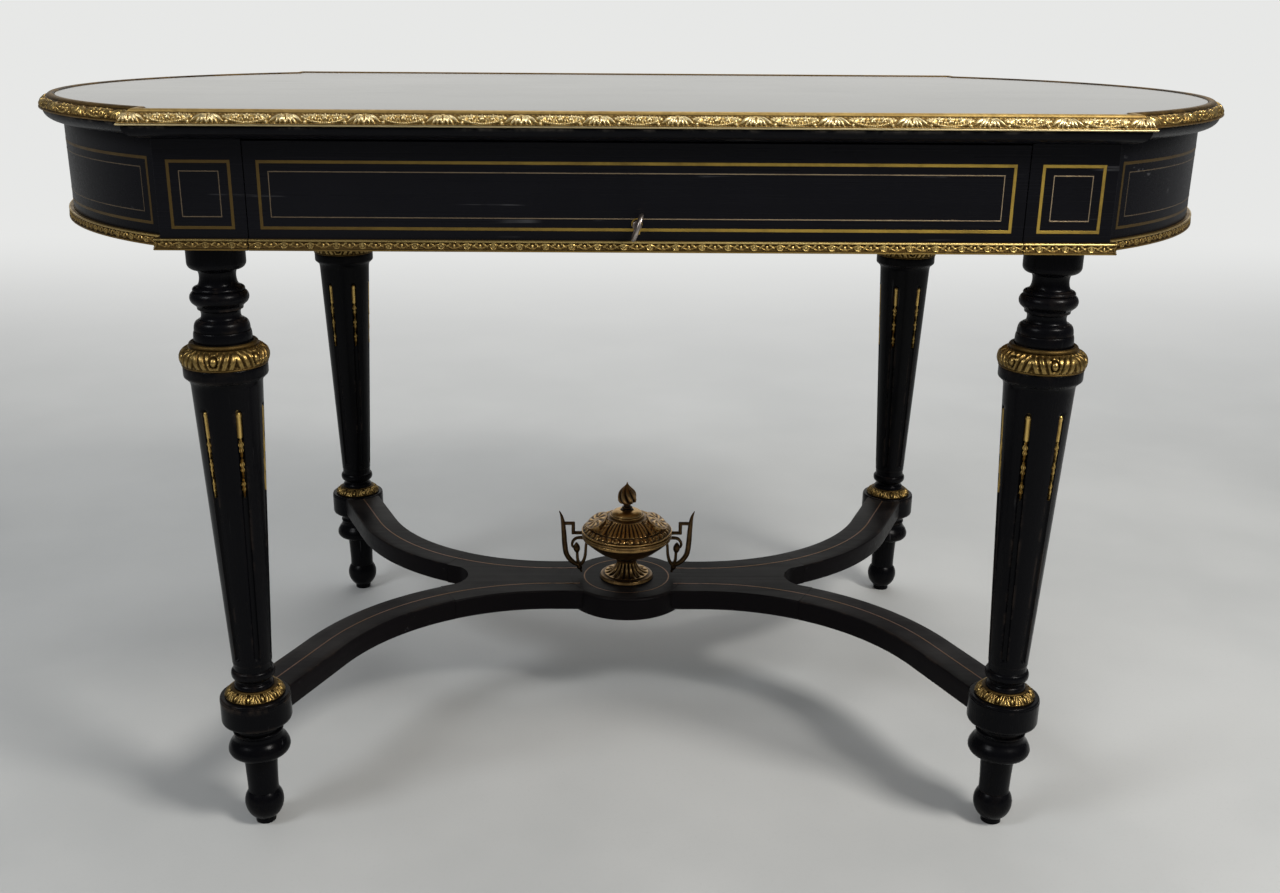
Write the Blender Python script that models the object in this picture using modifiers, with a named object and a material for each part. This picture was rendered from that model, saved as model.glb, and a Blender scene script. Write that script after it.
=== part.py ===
"""Ebonised centre table with gilt-brass mounts: a breakfront top with round ends, one
frieze drawer, four turned and fluted legs, and a forked stretcher that carries an urn.

Metres, +Z up. The origin is on the floor under the middle of the table, and the drawer
side faces -Y.
"""

import math

import bmesh
import bpy
from mathutils import Matrix, Vector

# Fits
CLEARANCE = 0.0003
DRAWER_PLAY = 0.0008
LEG_STEPS = 16
RING_STEPS = 20
END_STEPS = 20

# Plan of the frieze, measured at its faces
FRIEZE_HALF_LENGTH = 0.4236
FRIEZE_HALF_DEPTH = 0.337
END_RADIUS = 0.378
END_STEP = 0.01788
BLOCK_WIDTH = 0.0781
BLOCK_DEPTH = 0.062
END_PANEL_THICKNESS = 0.020
BACK_RAIL_THICKNESS = 0.020
INNER_RAIL_THICKNESS = 0.020

# Heights of the frieze and top
FRIEZE_BOTTOM = 0.609
FRIEZE_HEIGHT = 0.0957
TOP_THICKNESS = 0.0247
TOP_OVOLO_HEIGHT = 0.0115
TOP_UNDERSIDE_OVERHANG = 0.003
TOP_OVOLO_OVERHANG = 0.0190
TOP_REBATE_OVERHANG = 0.0055
OVOLO_STEPS = 4

# Gilt moulding round the top and along the foot of the frieze
TOP_MOULDING_OVERHANG = 0.022
TOP_MOULDING_FILLET = 0.0022
TOP_MOULDING_CREST = 0.0008
TOP_MOULDING_STEPS = 4
BASE_MOULDING_HEIGHT = 0.010
BASE_MOULDING_DROP = 0.001
BASE_MOULDING_DEPTH = 0.005
BASE_MOULDING_FILLET = 0.0025

# Drawer
DRAWER_FRONT_THICKNESS = 0.022
DRAWER_SIDE_THICKNESS = 0.012
DRAWER_BACK_THICKNESS = 0.012
DRAWER_BOTTOM_THICKNESS = 0.006
DRAWER_BOTTOM_LIFT = 0.004
DRAWER_GROOVE_DEPTH = 0.005
DRAWER_BACK_GAP = 0.042
DRAWER_TOP_GAP = 0.0015
DRAWER_BACK_DROP = 0.004
RUNNER_WIDTH = 0.030
RAIL_THICKNESS = 0.0105
RAIL_DEPTH = 0.050

# Lock and key
KEY_RISE = 0.024
KEY_TILT = math.radians(19.0)
KEY_SHANK_RADIUS = 0.0029
KEY_BORE_RADIUS = 0.0016
KEY_BORE_DEPTH = 0.014
KEY_COLLAR_RADIUS = 0.0043
KEY_COLLAR_LENGTH = 0.003
KEY_REACH = 0.0085
KEY_BOW_LENGTH = 0.0235
KEY_BOW_HEIGHT = 0.0265
KEY_BOW_WIRE = 0.0019
KEY_BOW_POINTS = 20
KEY_BIT_LENGTH = 0.0075
KEY_BIT_WIDTH = 0.0040
KEY_BIT_THICKNESS = 0.0020
KEYHOLE_PLAY = 0.0008
LOCK_WIDTH = 0.060
LOCK_HEIGHT = 0.042
LOCK_DEPTH = 0.0125
LOCK_WALL = 0.0015
LOCK_LIFT = 0.0008
LOCK_PIN_RADIUS = 0.0012
BOLT_WIDTH = 0.016
BOLT_THICKNESS = 0.0035
BOLT_LENGTH = 0.032
BOLT_TRAVEL = 0.007
BOLT_PLAY = 0.0004

# Legs: the place of their axes, and the foot from the floor up
LEG_INSET_LONG = 0.0391
LEG_INSET_DEEP = 0.031
PAD_RADIUS = 0.0105
PAD_HEIGHT = 0.0045
BALL_RADIUS = 0.0200
ANKLE_LOW_RADIUS = 0.0154
ANKLE_HIGH_RADIUS = 0.0182
ANKLE_HEIGHT = 0.0447
CUSHION_RADIUS = 0.0313
CUSHION_END_RADIUS = 0.0220
CUSHION_LOW_HEIGHT = 0.0080
CUSHION_HIGH_HEIGHT = 0.0190
FOOT_NECK_RADIUS = 0.0232
FOOT_NECK_HEIGHT = 0.0110
FOOT_BLOCK_RADIUS = 0.0355
FOOT_BLOCK_HEIGHT = 0.0300
FOOT_BLOCK_EDGE = 0.0012
FOOT_BLOCK_ROUND = 0.0040

# Leg above the foot block
LEG_PIN_RADIUS = 0.009
LEG_PIN_LENGTH = 0.030
SEAT_RADIUS = 0.0195
SEAT_HEIGHT = 0.0075
COVE_RADIUS = 0.0146
COVE_HEIGHT = 0.0085
BEAD_RADIUS = 0.0218
BEAD_HEIGHT = 0.0170
SHAFT_LOW_RADIUS = 0.0196
SHAFT_HIGH_RADIUS = 0.0330
SHOULDER_RADIUS = 0.0390
SHOULDER_COVE_HEIGHT = 0.0105
SHOULDER_HEIGHT = 0.0100
VASE_RADIUS = 0.0270
VASE_HEIGHT = 0.0283
VASE_SHOULDER_HEIGHT = 0.0147
WAIST_RADIUS = 0.0178
WAIST_HEIGHT = 0.0102
RING_RADIUS = 0.0269
RING_HEIGHT = 0.0195
UPPER_WAIST_HEIGHT = 0.0192
CAP_RADIUS = 0.0267
CAP_HEIGHT = 0.0205
TENON_RADIUS = 0.014
TENON_LENGTH = 0.040

# Flutes of the shaft
FLUTE_COUNT = 6
FLUTE_WIDTH = 0.0066
FLUTE_DEPTH = 0.0026
FLUTE_TOP_MARGIN = 0.0175
FLUTE_BOTTOM_MARGIN = 0.0100
FLUTE_SIDES = 8

# Gilt collars of the legs
UPPER_COLLAR_HEIGHT = 0.0220
UPPER_COLLAR_LOW_RADIUS = 0.0392
UPPER_COLLAR_RADIUS = 0.0420
UPPER_COLLAR_LIP_RADIUS = 0.0300
UPPER_COLLAR_LIP_HEIGHT = 0.0030
LOWER_COLLAR_HEIGHT = 0.0095
LOWER_COLLAR_LOW_RADIUS = 0.0298
LOWER_COLLAR_HIGH_RADIUS = 0.0225
LOWER_COLLAR_EDGE = 0.0025

# Stretcher
STRETCHER_DROP = 0.001
STRETCHER_THICKNESS = 0.0245
ARM_HALF_WIDTH = 0.0235
ARM_OFFSET_Y = 0.0240
ARM_STRAIGHT_X = 0.090
ARM_BEND_INSET = 0.0295
ARM_BEND_STEPS = 14
SPLICE_ANGLE = math.radians(28.1)
NOTCH_DEPTH = 0.0118
NOTCH_ANGLE = math.radians(24.1)
NOTCH_STEPS = 6
ARM_TENON_RADIUS = 0.007
ARM_TENON_LENGTH = 0.018
SPLICE_PIN_RADIUS = 0.006
SPLICE_PIN_LENGTH = 0.020
HUB_RADIUS = 0.072
HUB_THICKNESS = 0.028
HUB_EDGE = 0.004

# Urn on the stretcher
ROD_RADIUS = 0.0025
URN_WALL = 0.003
URN_BASE_RADIUS = 0.033
URN_BASE_EDGE = 0.004
URN_FOOT_HEIGHT = 0.0230
URN_NECK_RADIUS = 0.0122
BOWL_RADIUS = 0.0556
BOWL_HEIGHT = 0.0360
BOWL_RIM_HEIGHT = 0.0055
LID_HEIGHT = 0.0290
LID_TOP_RADIUS = 0.0085
LID_SHOULDER_RADIUS = 0.0380
LID_SHOULDER_HEIGHT = 0.0145
LID_EDGE = 0.0035
FINIAL_NECK_RADIUS = 0.0042
FINIAL_NECK_HEIGHT = 0.0065
FINIAL_RADIUS = 0.0118
FINIAL_HEIGHT = 0.0270
FINIAL_TIP_RADIUS = 0.0010
HANDLE_WIRE = 0.0021
HANDLE_TIP_X = 0.0805
HANDLE_TIP_RISE = 0.0850
HANDLE_POST_X = 0.0765
HANDLE_ELBOW_RISE = 0.0300
HANDLE_FOOT_X = 0.0560
HANDLE_FOOT_RISE = 0.0110
HANDLE_KEY_RISE = 0.0690
HANDLE_KEY_X = 0.0655
HANDLE_SCROLL_RISE = 0.0420

# Heights and lengths that follow from the sizes above
FRIEZE_TOP = FRIEZE_BOTTOM + FRIEZE_HEIGHT
TOP_UNDERSIDE = FRIEZE_TOP + CLEARANCE
TABLE_HEIGHT = TOP_UNDERSIDE + TOP_THICKNESS
END_CHORD = FRIEZE_HALF_DEPTH - END_STEP
END_CENTRE_X = FRIEZE_HALF_LENGTH - math.sqrt(END_RADIUS ** 2 - END_CHORD ** 2)
BLOCK_INNER_X = FRIEZE_HALF_LENGTH - BLOCK_WIDTH
BLOCK_INNER_Y = FRIEZE_HALF_DEPTH - BLOCK_DEPTH
DRAWER_HALF_WIDTH = BLOCK_INNER_X - DRAWER_PLAY
DRAWER_FRONT_Y = -FRIEZE_HALF_DEPTH
DRAWER_FRONT_BACK_Y = DRAWER_FRONT_Y + DRAWER_FRONT_THICKNESS
RAIL_TOP = FRIEZE_BOTTOM + RAIL_THICKNESS
DRAWER_BOTTOM_Z = RAIL_TOP + CLEARANCE + DRAWER_BOTTOM_LIFT
DRAWER_INNER_X = DRAWER_HALF_WIDTH - DRAWER_SIDE_THICKNESS
DRAWER_END_Y = FRIEZE_HALF_DEPTH - BACK_RAIL_THICKNESS - DRAWER_BACK_GAP
KEY_HEIGHT = FRIEZE_BOTTOM + KEY_RISE
LEG_X = FRIEZE_HALF_LENGTH - LEG_INSET_LONG
LEG_Y = FRIEZE_HALF_DEPTH - LEG_INSET_DEEP
BALL_Z = PAD_HEIGHT + BALL_RADIUS
ANKLE_Z = BALL_Z + math.sqrt(BALL_RADIUS ** 2 - ANKLE_LOW_RADIUS ** 2)
CUSHION_Z = ANKLE_Z + ANKLE_HEIGHT
FOOT_NECK_Z = CUSHION_Z + CUSHION_LOW_HEIGHT + CUSHION_HIGH_HEIGHT
FOOT_BLOCK_Z = FOOT_NECK_Z + FOOT_NECK_HEIGHT
FOOT_TOP = FOOT_BLOCK_Z + FOOT_BLOCK_HEIGHT
SEAT_Z = FOOT_TOP + CLEARANCE
COVE_Z = SEAT_Z + SEAT_HEIGHT
BEAD_Z = COVE_Z + COVE_HEIGHT
SHAFT_Z = BEAD_Z + BEAD_HEIGHT
LEG_TOP = FRIEZE_BOTTOM - CLEARANCE
CAP_Z = LEG_TOP - CAP_HEIGHT
UPPER_WAIST_Z = CAP_Z - UPPER_WAIST_HEIGHT
RING_Z = UPPER_WAIST_Z - RING_HEIGHT
WAIST_Z = RING_Z - WAIST_HEIGHT
VASE_CREST = WAIST_Z - VASE_SHOULDER_HEIGHT
VASE_Z = VASE_CREST - VASE_HEIGHT
SHOULDER_Z = VASE_Z - SHOULDER_HEIGHT
SHAFT_TOP = SHOULDER_Z - SHOULDER_COVE_HEIGHT
SHAFT_HEIGHT = SHAFT_TOP - SHAFT_Z
STRETCHER_TOP = FOOT_TOP - STRETCHER_DROP
STRETCHER_MID = STRETCHER_TOP - STRETCHER_THICKNESS / 2
ARM_REACH_X = LEG_X - ARM_STRAIGHT_X
ARM_BEND_RADIUS = ARM_REACH_X - ARM_BEND_INSET
ARM_CENTRE_Y = -(ARM_OFFSET_Y + ARM_BEND_RADIUS)
ARM_REACH_Y = -LEG_Y - ARM_CENTRE_Y
ARM_BEND_ANGLE = (math.pi / 2 - math.atan2(ARM_REACH_Y, ARM_REACH_X)
                  - math.acos(ARM_BEND_RADIUS / math.hypot(ARM_REACH_X, ARM_REACH_Y)))
URN_Z = STRETCHER_TOP + CLEARANCE
BOWL_Z = URN_Z + URN_FOOT_HEIGHT + CLEARANCE
LID_Z = BOWL_Z + BOWL_HEIGHT + CLEARANCE
FINIAL_Z = LID_Z + LID_HEIGHT + CLEARANCE
HANDLE_RIM_RISE = BOWL_Z + BOWL_HEIGHT - BOWL_RIM_HEIGHT / 2 - URN_Z
LOCK_FACE_Y = DRAWER_FRONT_BACK_Y + CLEARANCE
LOCK_BOTTOM = RAIL_TOP + LOCK_LIFT
BOLT_Y = LOCK_FACE_Y + LOCK_DEPTH - LOCK_WALL - BOLT_PLAY - BOLT_THICKNESS
BIT_Y = BOLT_Y - BOLT_PLAY - KEY_BIT_WIDTH

SIDES = {"left": -1.0, "right": 1.0}
FACES = {"front": -1.0, "back": 1.0}


def clear_scene():
    """Empty the scene of objects."""
    for item in list(bpy.data.objects):
        bpy.data.objects.remove(item, do_unlink=True)


def new_collection(name):
    """A collection linked to the scene."""
    group = bpy.data.collections.new(name)
    bpy.context.scene.collection.children.link(group)
    return group


def new_finish(name, colour, roughness, metallic):
    """A plain surface with one colour."""
    finish = bpy.data.materials.new(name)
    finish.use_nodes = True
    shader = finish.node_tree.nodes["Principled BSDF"]
    shader.inputs["Base Color"].default_value = (*colour, 1.0)
    shader.inputs["Roughness"].default_value = roughness
    shader.inputs["Metallic"].default_value = metallic
    return finish


clear_scene()
PARTS = new_collection("centre_table")
CUTTERS = new_collection("cutters")
EBONY = new_finish("ebonised_wood", (0.010, 0.009, 0.010), 0.22, 0.0)
OAK = new_finish("drawer_wood", (0.30, 0.18, 0.09), 0.55, 0.0)
GILT = new_finish("gilt_brass", (0.62, 0.42, 0.15), 0.32, 1.0)
BRONZE = new_finish("dark_gilt_bronze", (0.30, 0.20, 0.08), 0.40, 1.0)
STEEL = new_finish("lock_steel", (0.42, 0.41, 0.40), 0.38, 1.0)


def finished(item, finish, smooth_angle=35.0):
    """Give a mesh object its own copy of a finish and smooth shading below an angle."""
    item.data.materials.clear()
    own = finish.copy()
    own.name = item.name + "_" + finish.name
    item.data.materials.append(own)
    item.data.shade_smooth()
    item.data.set_sharp_from_angle(angle=math.radians(smooth_angle))
    return item


def mesh_object(name, mesh, group=PARTS):
    """Link a mesh as an object of a collection."""
    item = bpy.data.objects.new(name, mesh)
    group.objects.link(item)
    if group is CUTTERS:
        item.hide_render = True
        item.display_type = "WIRE"
    return item


def from_bmesh(name, shape, group=PARTS):
    """Turn a bmesh into an object, with its normals facing out."""
    bmesh.ops.recalc_face_normals(shape, faces=shape.faces)
    mesh = bpy.data.meshes.new(name)
    shape.to_mesh(mesh)
    shape.free()
    return mesh_object(name, mesh, group)


def box(name, low, high, group=PARTS):
    """A box between two corners."""
    low, high = Vector(low), Vector(high)
    shape = bmesh.new()
    bmesh.ops.create_cube(shape, size=1.0)
    bmesh.ops.scale(shape, vec=high - low, verts=shape.verts)
    bmesh.ops.translate(shape, vec=(low + high) / 2, verts=shape.verts)
    return from_bmesh(name, shape, group)


def rod(name, start, end, radius, sides=12, group=PARTS):
    """A round rod between two points."""
    start, end = Vector(start), Vector(end)
    way = end - start
    turn = way.to_track_quat("Z", "Y").to_matrix().to_4x4()
    shape = bmesh.new()
    bmesh.ops.create_cone(shape, cap_ends=True, segments=sides, radius1=radius,
                          radius2=radius, depth=way.length,
                          matrix=Matrix.Translation((start + end) / 2) @ turn)
    return from_bmesh(name, shape, group)


def evaluated_copy(item, name, group):
    """The evaluated shape of an object as a plain welded mesh object, in its place."""
    bpy.context.view_layer.update()
    graph = bpy.context.evaluated_depsgraph_get()
    mesh = bpy.data.meshes.new_from_object(item.evaluated_get(graph))
    place = item.matrix_world.copy()
    bpy.data.objects.remove(item, do_unlink=True)
    shape = bmesh.new()
    shape.from_mesh(mesh)
    bmesh.ops.remove_doubles(shape, verts=shape.verts, dist=1e-6)
    bmesh.ops.recalc_face_normals(shape, faces=shape.faces)
    shape.to_mesh(mesh)
    shape.free()
    mesh.name = name
    copy = mesh_object(name, mesh, group)
    copy.matrix_world = place
    return copy


def turned(name, outline, steps, group=PARTS):
    """A turned solid: an outline of (radius, height) from top to bottom, spun about Z."""
    shape = bmesh.new()
    points = [shape.verts.new((radius, 0.0, height)) for radius, height in outline]
    for upper, lower in zip(points, points[1:]):
        shape.edges.new((upper, lower))
    if outline[0] == outline[-1]:
        bmesh.ops.remove_doubles(shape, verts=shape.verts, dist=1e-7)
    mesh = bpy.data.meshes.new(name)
    shape.to_mesh(mesh)
    shape.free()
    item = mesh_object(name + "_outline", mesh, CUTTERS)
    screw = item.modifiers.new("turn", "SCREW")
    screw.steps = steps
    screw.render_steps = steps
    screw.use_merge_vertices = True
    screw.merge_threshold = 0.00001
    return evaluated_copy(item, name, group)


def cut(item, cutter, operation="DIFFERENCE"):
    """Apply a Boolean of one object on another and drop the second."""
    change = item.modifiers.new("boolean", "BOOLEAN")
    change.object = cutter
    change.operation = operation
    change.solver = "EXACT"
    name = item.name
    group = item.users_collection[0]
    item.name = name + "_before"
    result = evaluated_copy(item, name, group)
    bpy.data.objects.remove(cutter, do_unlink=True)
    return result


def joined(item, other):
    """The union of two objects as one."""
    return cut(item, other, "UNION")


def loft(name, rings, group=PARTS):
    """A solid through rings of equal point counts, closed by its first and last ring."""
    shape = bmesh.new()
    rows = [[shape.verts.new(point) for point in ring] for ring in rings]
    count = len(rows[0])
    for low, high in zip(rows, rows[1:]):
        for i in range(count):
            shape.faces.new((low[i], low[(i + 1) % count], high[(i + 1) % count], high[i]))
    shape.faces.new(rows[0])
    shape.faces.new(rows[-1])
    return from_bmesh(name, shape, group)


def slab(name, outline, bottom, top, group=PARTS):
    """A flat outline in plan, filled and given thickness."""
    curve = bpy.data.curves.new(name + "_outline", "CURVE")
    curve.dimensions = "2D"
    curve.fill_mode = "BOTH"
    curve.extrude = (top - bottom) / 2
    line = curve.splines.new("POLY")
    line.points.add(len(outline) - 1)
    for point, (x, y) in zip(line.points, outline):
        point.co = (x, y, 0.0, 1.0)
    line.use_cyclic_u = True
    item = bpy.data.objects.new(name + "_curve", curve)
    CUTTERS.objects.link(item)
    item.location.z = (top + bottom) / 2
    copy = evaluated_copy(item, name, group)
    copy.data.transform(copy.matrix_world)
    copy.matrix_world = Matrix.Identity(4)
    return copy


def wire(name, points, radius, closed=False, group=PARTS):
    """A round wire along points, with filled ends."""
    curve = bpy.data.curves.new(name + "_path", "CURVE")
    curve.dimensions = "3D"
    curve.bevel_depth = radius
    curve.bevel_resolution = 1
    curve.use_fill_caps = True
    line = curve.splines.new("POLY")
    line.points.add(len(points) - 1)
    for point, place in zip(line.points, points):
        point.co = (*place, 1.0)
    line.use_cyclic_u = closed
    item = bpy.data.objects.new(name + "_curve", curve)
    CUTTERS.objects.link(item)
    return evaluated_copy(item, name, group)


def arc(start, end, steps):
    """Evenly spaced angles from start to end."""
    return [start + (end - start) * i / steps for i in range(steps + 1)]


def bead(radius, crest, middle, above, below, steps=4):
    """A round bead on a turning, from its top edge over its crest to its bottom edge."""
    return [(radius + (crest - radius) * math.cos(turn),
             middle + (above if turn > 0 else below) * math.sin(turn))
            for turn in arc(math.pi / 2, -math.pi / 2, steps)]


def frieze_step(offset):
    """Half the depth at which a round end meets the straight part, at an offset outward."""
    reach = FRIEZE_HALF_LENGTH + offset - END_CENTRE_X
    return math.sqrt((END_RADIUS + offset) ** 2 - reach ** 2)


def end_points(offset, side, cut_x):
    """Points of a round end at an offset outward, front to back, cut off at a plane."""
    radius = END_RADIUS + offset
    swing = math.acos((cut_x - END_CENTRE_X) / radius)
    return [(side * (END_CENTRE_X + radius * math.cos(turn)), radius * math.sin(turn))
            for turn in arc(-swing, swing, END_STEPS)]


def plan(offset):
    """The breakfront outline at an offset outward from the frieze, anticlockwise."""
    half = FRIEZE_HALF_LENGTH + offset
    depth = FRIEZE_HALF_DEPTH + offset
    right = end_points(offset, 1.0, half)
    left = [(-x, -y) for x, y in right]
    return [(half, -depth), *right, (half, depth), (-half, depth), *left, (-half, -depth)]


def straight_path(offset, face):
    """The straight front or back of the plan with its two short returns."""
    half = FRIEZE_HALF_LENGTH + offset
    depth = FRIEZE_HALF_DEPTH + offset
    end = frieze_step(offset) + CLEARANCE
    line = [(-half, end), (-half, depth), (half, depth), (half, end)]
    return [(x, face * y) for x, y in line]


def swept(name, profile, path_of, group=PARTS):
    """A moulding: a closed profile of (offset, height) along a path that varies with offset."""
    lines = [[(x, y, height) for x, y in path_of(offset)] for offset, height in profile]
    rings = [[line[i] for line in lines] for i in range(len(lines[0]))]
    return loft(name, rings, group)


def top_moulding_profile():
    """Section of the gilt moulding: a bottom fillet, a hollow-backed swell and a crest."""
    low = TOP_UNDERSIDE + TOP_OVOLO_HEIGHT + CLEARANCE
    high = TABLE_HEIGHT + TOP_MOULDING_CREST
    inner = TOP_REBATE_OVERHANG + CLEARANCE
    outer = TOP_MOULDING_OVERHANG
    rise = high - low - TOP_MOULDING_FILLET
    swell = [(inner + TOP_MOULDING_FILLET
              + (outer - inner - TOP_MOULDING_FILLET) * math.cos(turn),
              low + TOP_MOULDING_FILLET + rise * math.sin(turn))
             for turn in arc(0.0, math.pi / 2, TOP_MOULDING_STEPS)]
    return [(inner, low), (outer, low), *swell, (inner, high)]


def base_moulding_profile():
    """Section of the gilt moulding along the foot of the frieze."""
    low = FRIEZE_BOTTOM - BASE_MOULDING_DROP
    high = low + BASE_MOULDING_HEIGHT
    outer = CLEARANCE + BASE_MOULDING_DEPTH
    slope = outer - BASE_MOULDING_FILLET
    return [(CLEARANCE, low), (outer, low), (outer, high - BASE_MOULDING_FILLET),
            (slope, high), (CLEARANCE, high)]


def make_top():
    """The top board, with an ovolo below and a rebate for the gilt moulding."""
    sweep = TOP_OVOLO_OVERHANG - TOP_UNDERSIDE_OVERHANG
    rings = []
    for turn in arc(0.0, math.pi / 2, OVOLO_STEPS):
        out = TOP_UNDERSIDE_OVERHANG + sweep * math.sin(turn)
        height = TOP_UNDERSIDE + TOP_OVOLO_HEIGHT * (1 - math.cos(turn))
        rings.append([(x, y, height) for x, y in plan(out)])
    shelf = TOP_UNDERSIDE + TOP_OVOLO_HEIGHT
    for height in (shelf, TABLE_HEIGHT):
        rings.append([(x, y, height) for x, y in plan(TOP_REBATE_OVERHANG)])
    finished(loft("top_board", rings), EBONY)
    profile = top_moulding_profile()
    for face, sign in FACES.items():
        item = swept("top_moulding_" + face, profile,
                     lambda offset, sign=sign: straight_path(offset, sign))
        finished(item, GILT)
    for side, sign in SIDES.items():
        item = swept("top_moulding_" + side + "_end", profile,
                     lambda offset, sign=sign: end_points(
                         offset, sign, FRIEZE_HALF_LENGTH + offset + CLEARANCE))
        finished(item, GILT)


def make_frieze():
    """Corner blocks, round end panels, back rail, inner rails, runners and front rail."""
    for face, front in FACES.items():
        for side, across in SIDES.items():
            corners = [(across * BLOCK_INNER_X, front * BLOCK_INNER_Y),
                       (across * FRIEZE_HALF_LENGTH, front * FRIEZE_HALF_DEPTH)]
            low = [min(pair) for pair in zip(*corners)]
            high = [max(pair) for pair in zip(*corners)]
            name = "corner_block_" + face + "_" + side
            item = box(name, (*low, FRIEZE_BOTTOM), (*high, FRIEZE_TOP))
            place = (across * LEG_X, front * LEG_Y)
            bore = rod("bore", (*place, FRIEZE_BOTTOM - TENON_LENGTH),
                       (*place, LEG_TOP + TENON_LENGTH + CLEARANCE),
                       TENON_RADIUS + CLEARANCE, LEG_STEPS, CUTTERS)
            finished(cut(item, bore), EBONY)
    plane = FRIEZE_HALF_LENGTH + CLEARANCE
    for side, across in SIDES.items():
        outer = end_points(0.0, across, plane)
        inner = end_points(-END_PANEL_THICKNESS, across, plane)
        rings = [[(*inside, FRIEZE_BOTTOM), (*outside, FRIEZE_BOTTOM),
                  (*outside, FRIEZE_TOP), (*inside, FRIEZE_TOP)]
                 for inside, outside in zip(inner, outer)]
        finished(loft("end_panel_" + side, rings), EBONY)
        rail_y = BLOCK_INNER_Y - CLEARANCE
        rail_x = sorted((across * BLOCK_INNER_X,
                         across * (BLOCK_INNER_X + INNER_RAIL_THICKNESS)))
        item = box("inner_rail_" + side, (rail_x[0], -rail_y, FRIEZE_BOTTOM),
                   (rail_x[1], rail_y, FRIEZE_TOP))
        finished(item, OAK)
        run_x = sorted((across * (BLOCK_INNER_X - CLEARANCE),
                        across * (BLOCK_INNER_X - CLEARANCE - RUNNER_WIDTH)))
        run_front = DRAWER_FRONT_BACK_Y + CLEARANCE + RAIL_DEPTH + CLEARANCE
        run_back = FRIEZE_HALF_DEPTH - BACK_RAIL_THICKNESS - CLEARANCE
        item = box("drawer_runner_" + side, (run_x[0], run_front, FRIEZE_BOTTOM),
                   (run_x[1], run_back, RAIL_TOP))
        finished(item, OAK)
    half = BLOCK_INNER_X - CLEARANCE
    item = box("back_rail", (-half, FRIEZE_HALF_DEPTH - BACK_RAIL_THICKNESS, FRIEZE_BOTTOM),
               (half, FRIEZE_HALF_DEPTH, FRIEZE_TOP))
    finished(item, EBONY)
    start = DRAWER_FRONT_BACK_Y + CLEARANCE
    item = box("front_rail", (-half, start, FRIEZE_BOTTOM), (half, start + RAIL_DEPTH, RAIL_TOP))
    gap = CLEARANCE + BOLT_PLAY
    mortise = box("mortise", (-BOLT_WIDTH / 2 - gap, BOLT_Y - gap, FRIEZE_BOTTOM - gap),
                  (BOLT_WIDTH / 2 + gap, BOLT_Y + BOLT_THICKNESS + gap, RAIL_TOP + gap), CUTTERS)
    finished(cut(item, mortise), OAK)


def make_base_mouldings():
    """Gilt mouldings along the foot of the frieze, in lengths that part at the drawer."""
    profile = base_moulding_profile()

    def corner(offset, across, front):
        half = FRIEZE_HALF_LENGTH + offset
        depth = FRIEZE_HALF_DEPTH + offset
        line = [(BLOCK_INNER_X, depth), (half, depth), (half, frieze_step(offset) + CLEARANCE)]
        return [(across * x, front * y) for x, y in line]

    def straight(offset, half, front):
        return [(x, front * (FRIEZE_HALF_DEPTH + offset)) for x in (-half, half)]

    for face, front in FACES.items():
        for side, across in SIDES.items():
            item = swept("base_moulding_" + face + "_" + side, profile,
                         lambda offset, across=across, front=front: corner(offset, across, front))
            finished(item, GILT)
    item = swept("base_moulding_drawer", profile,
                 lambda offset: straight(offset, DRAWER_HALF_WIDTH, FACES["front"]))
    finished(item, GILT)
    item = swept("base_moulding_back", profile,
                 lambda offset: straight(offset, BLOCK_INNER_X - CLEARANCE, FACES["back"]))
    finished(item, GILT)
    for side, across in SIDES.items():
        item = swept("base_moulding_" + side + "_end", profile,
                     lambda offset, across=across: end_points(
                         offset, across, FRIEZE_HALF_LENGTH + offset + CLEARANCE))
        finished(item, GILT)


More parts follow.
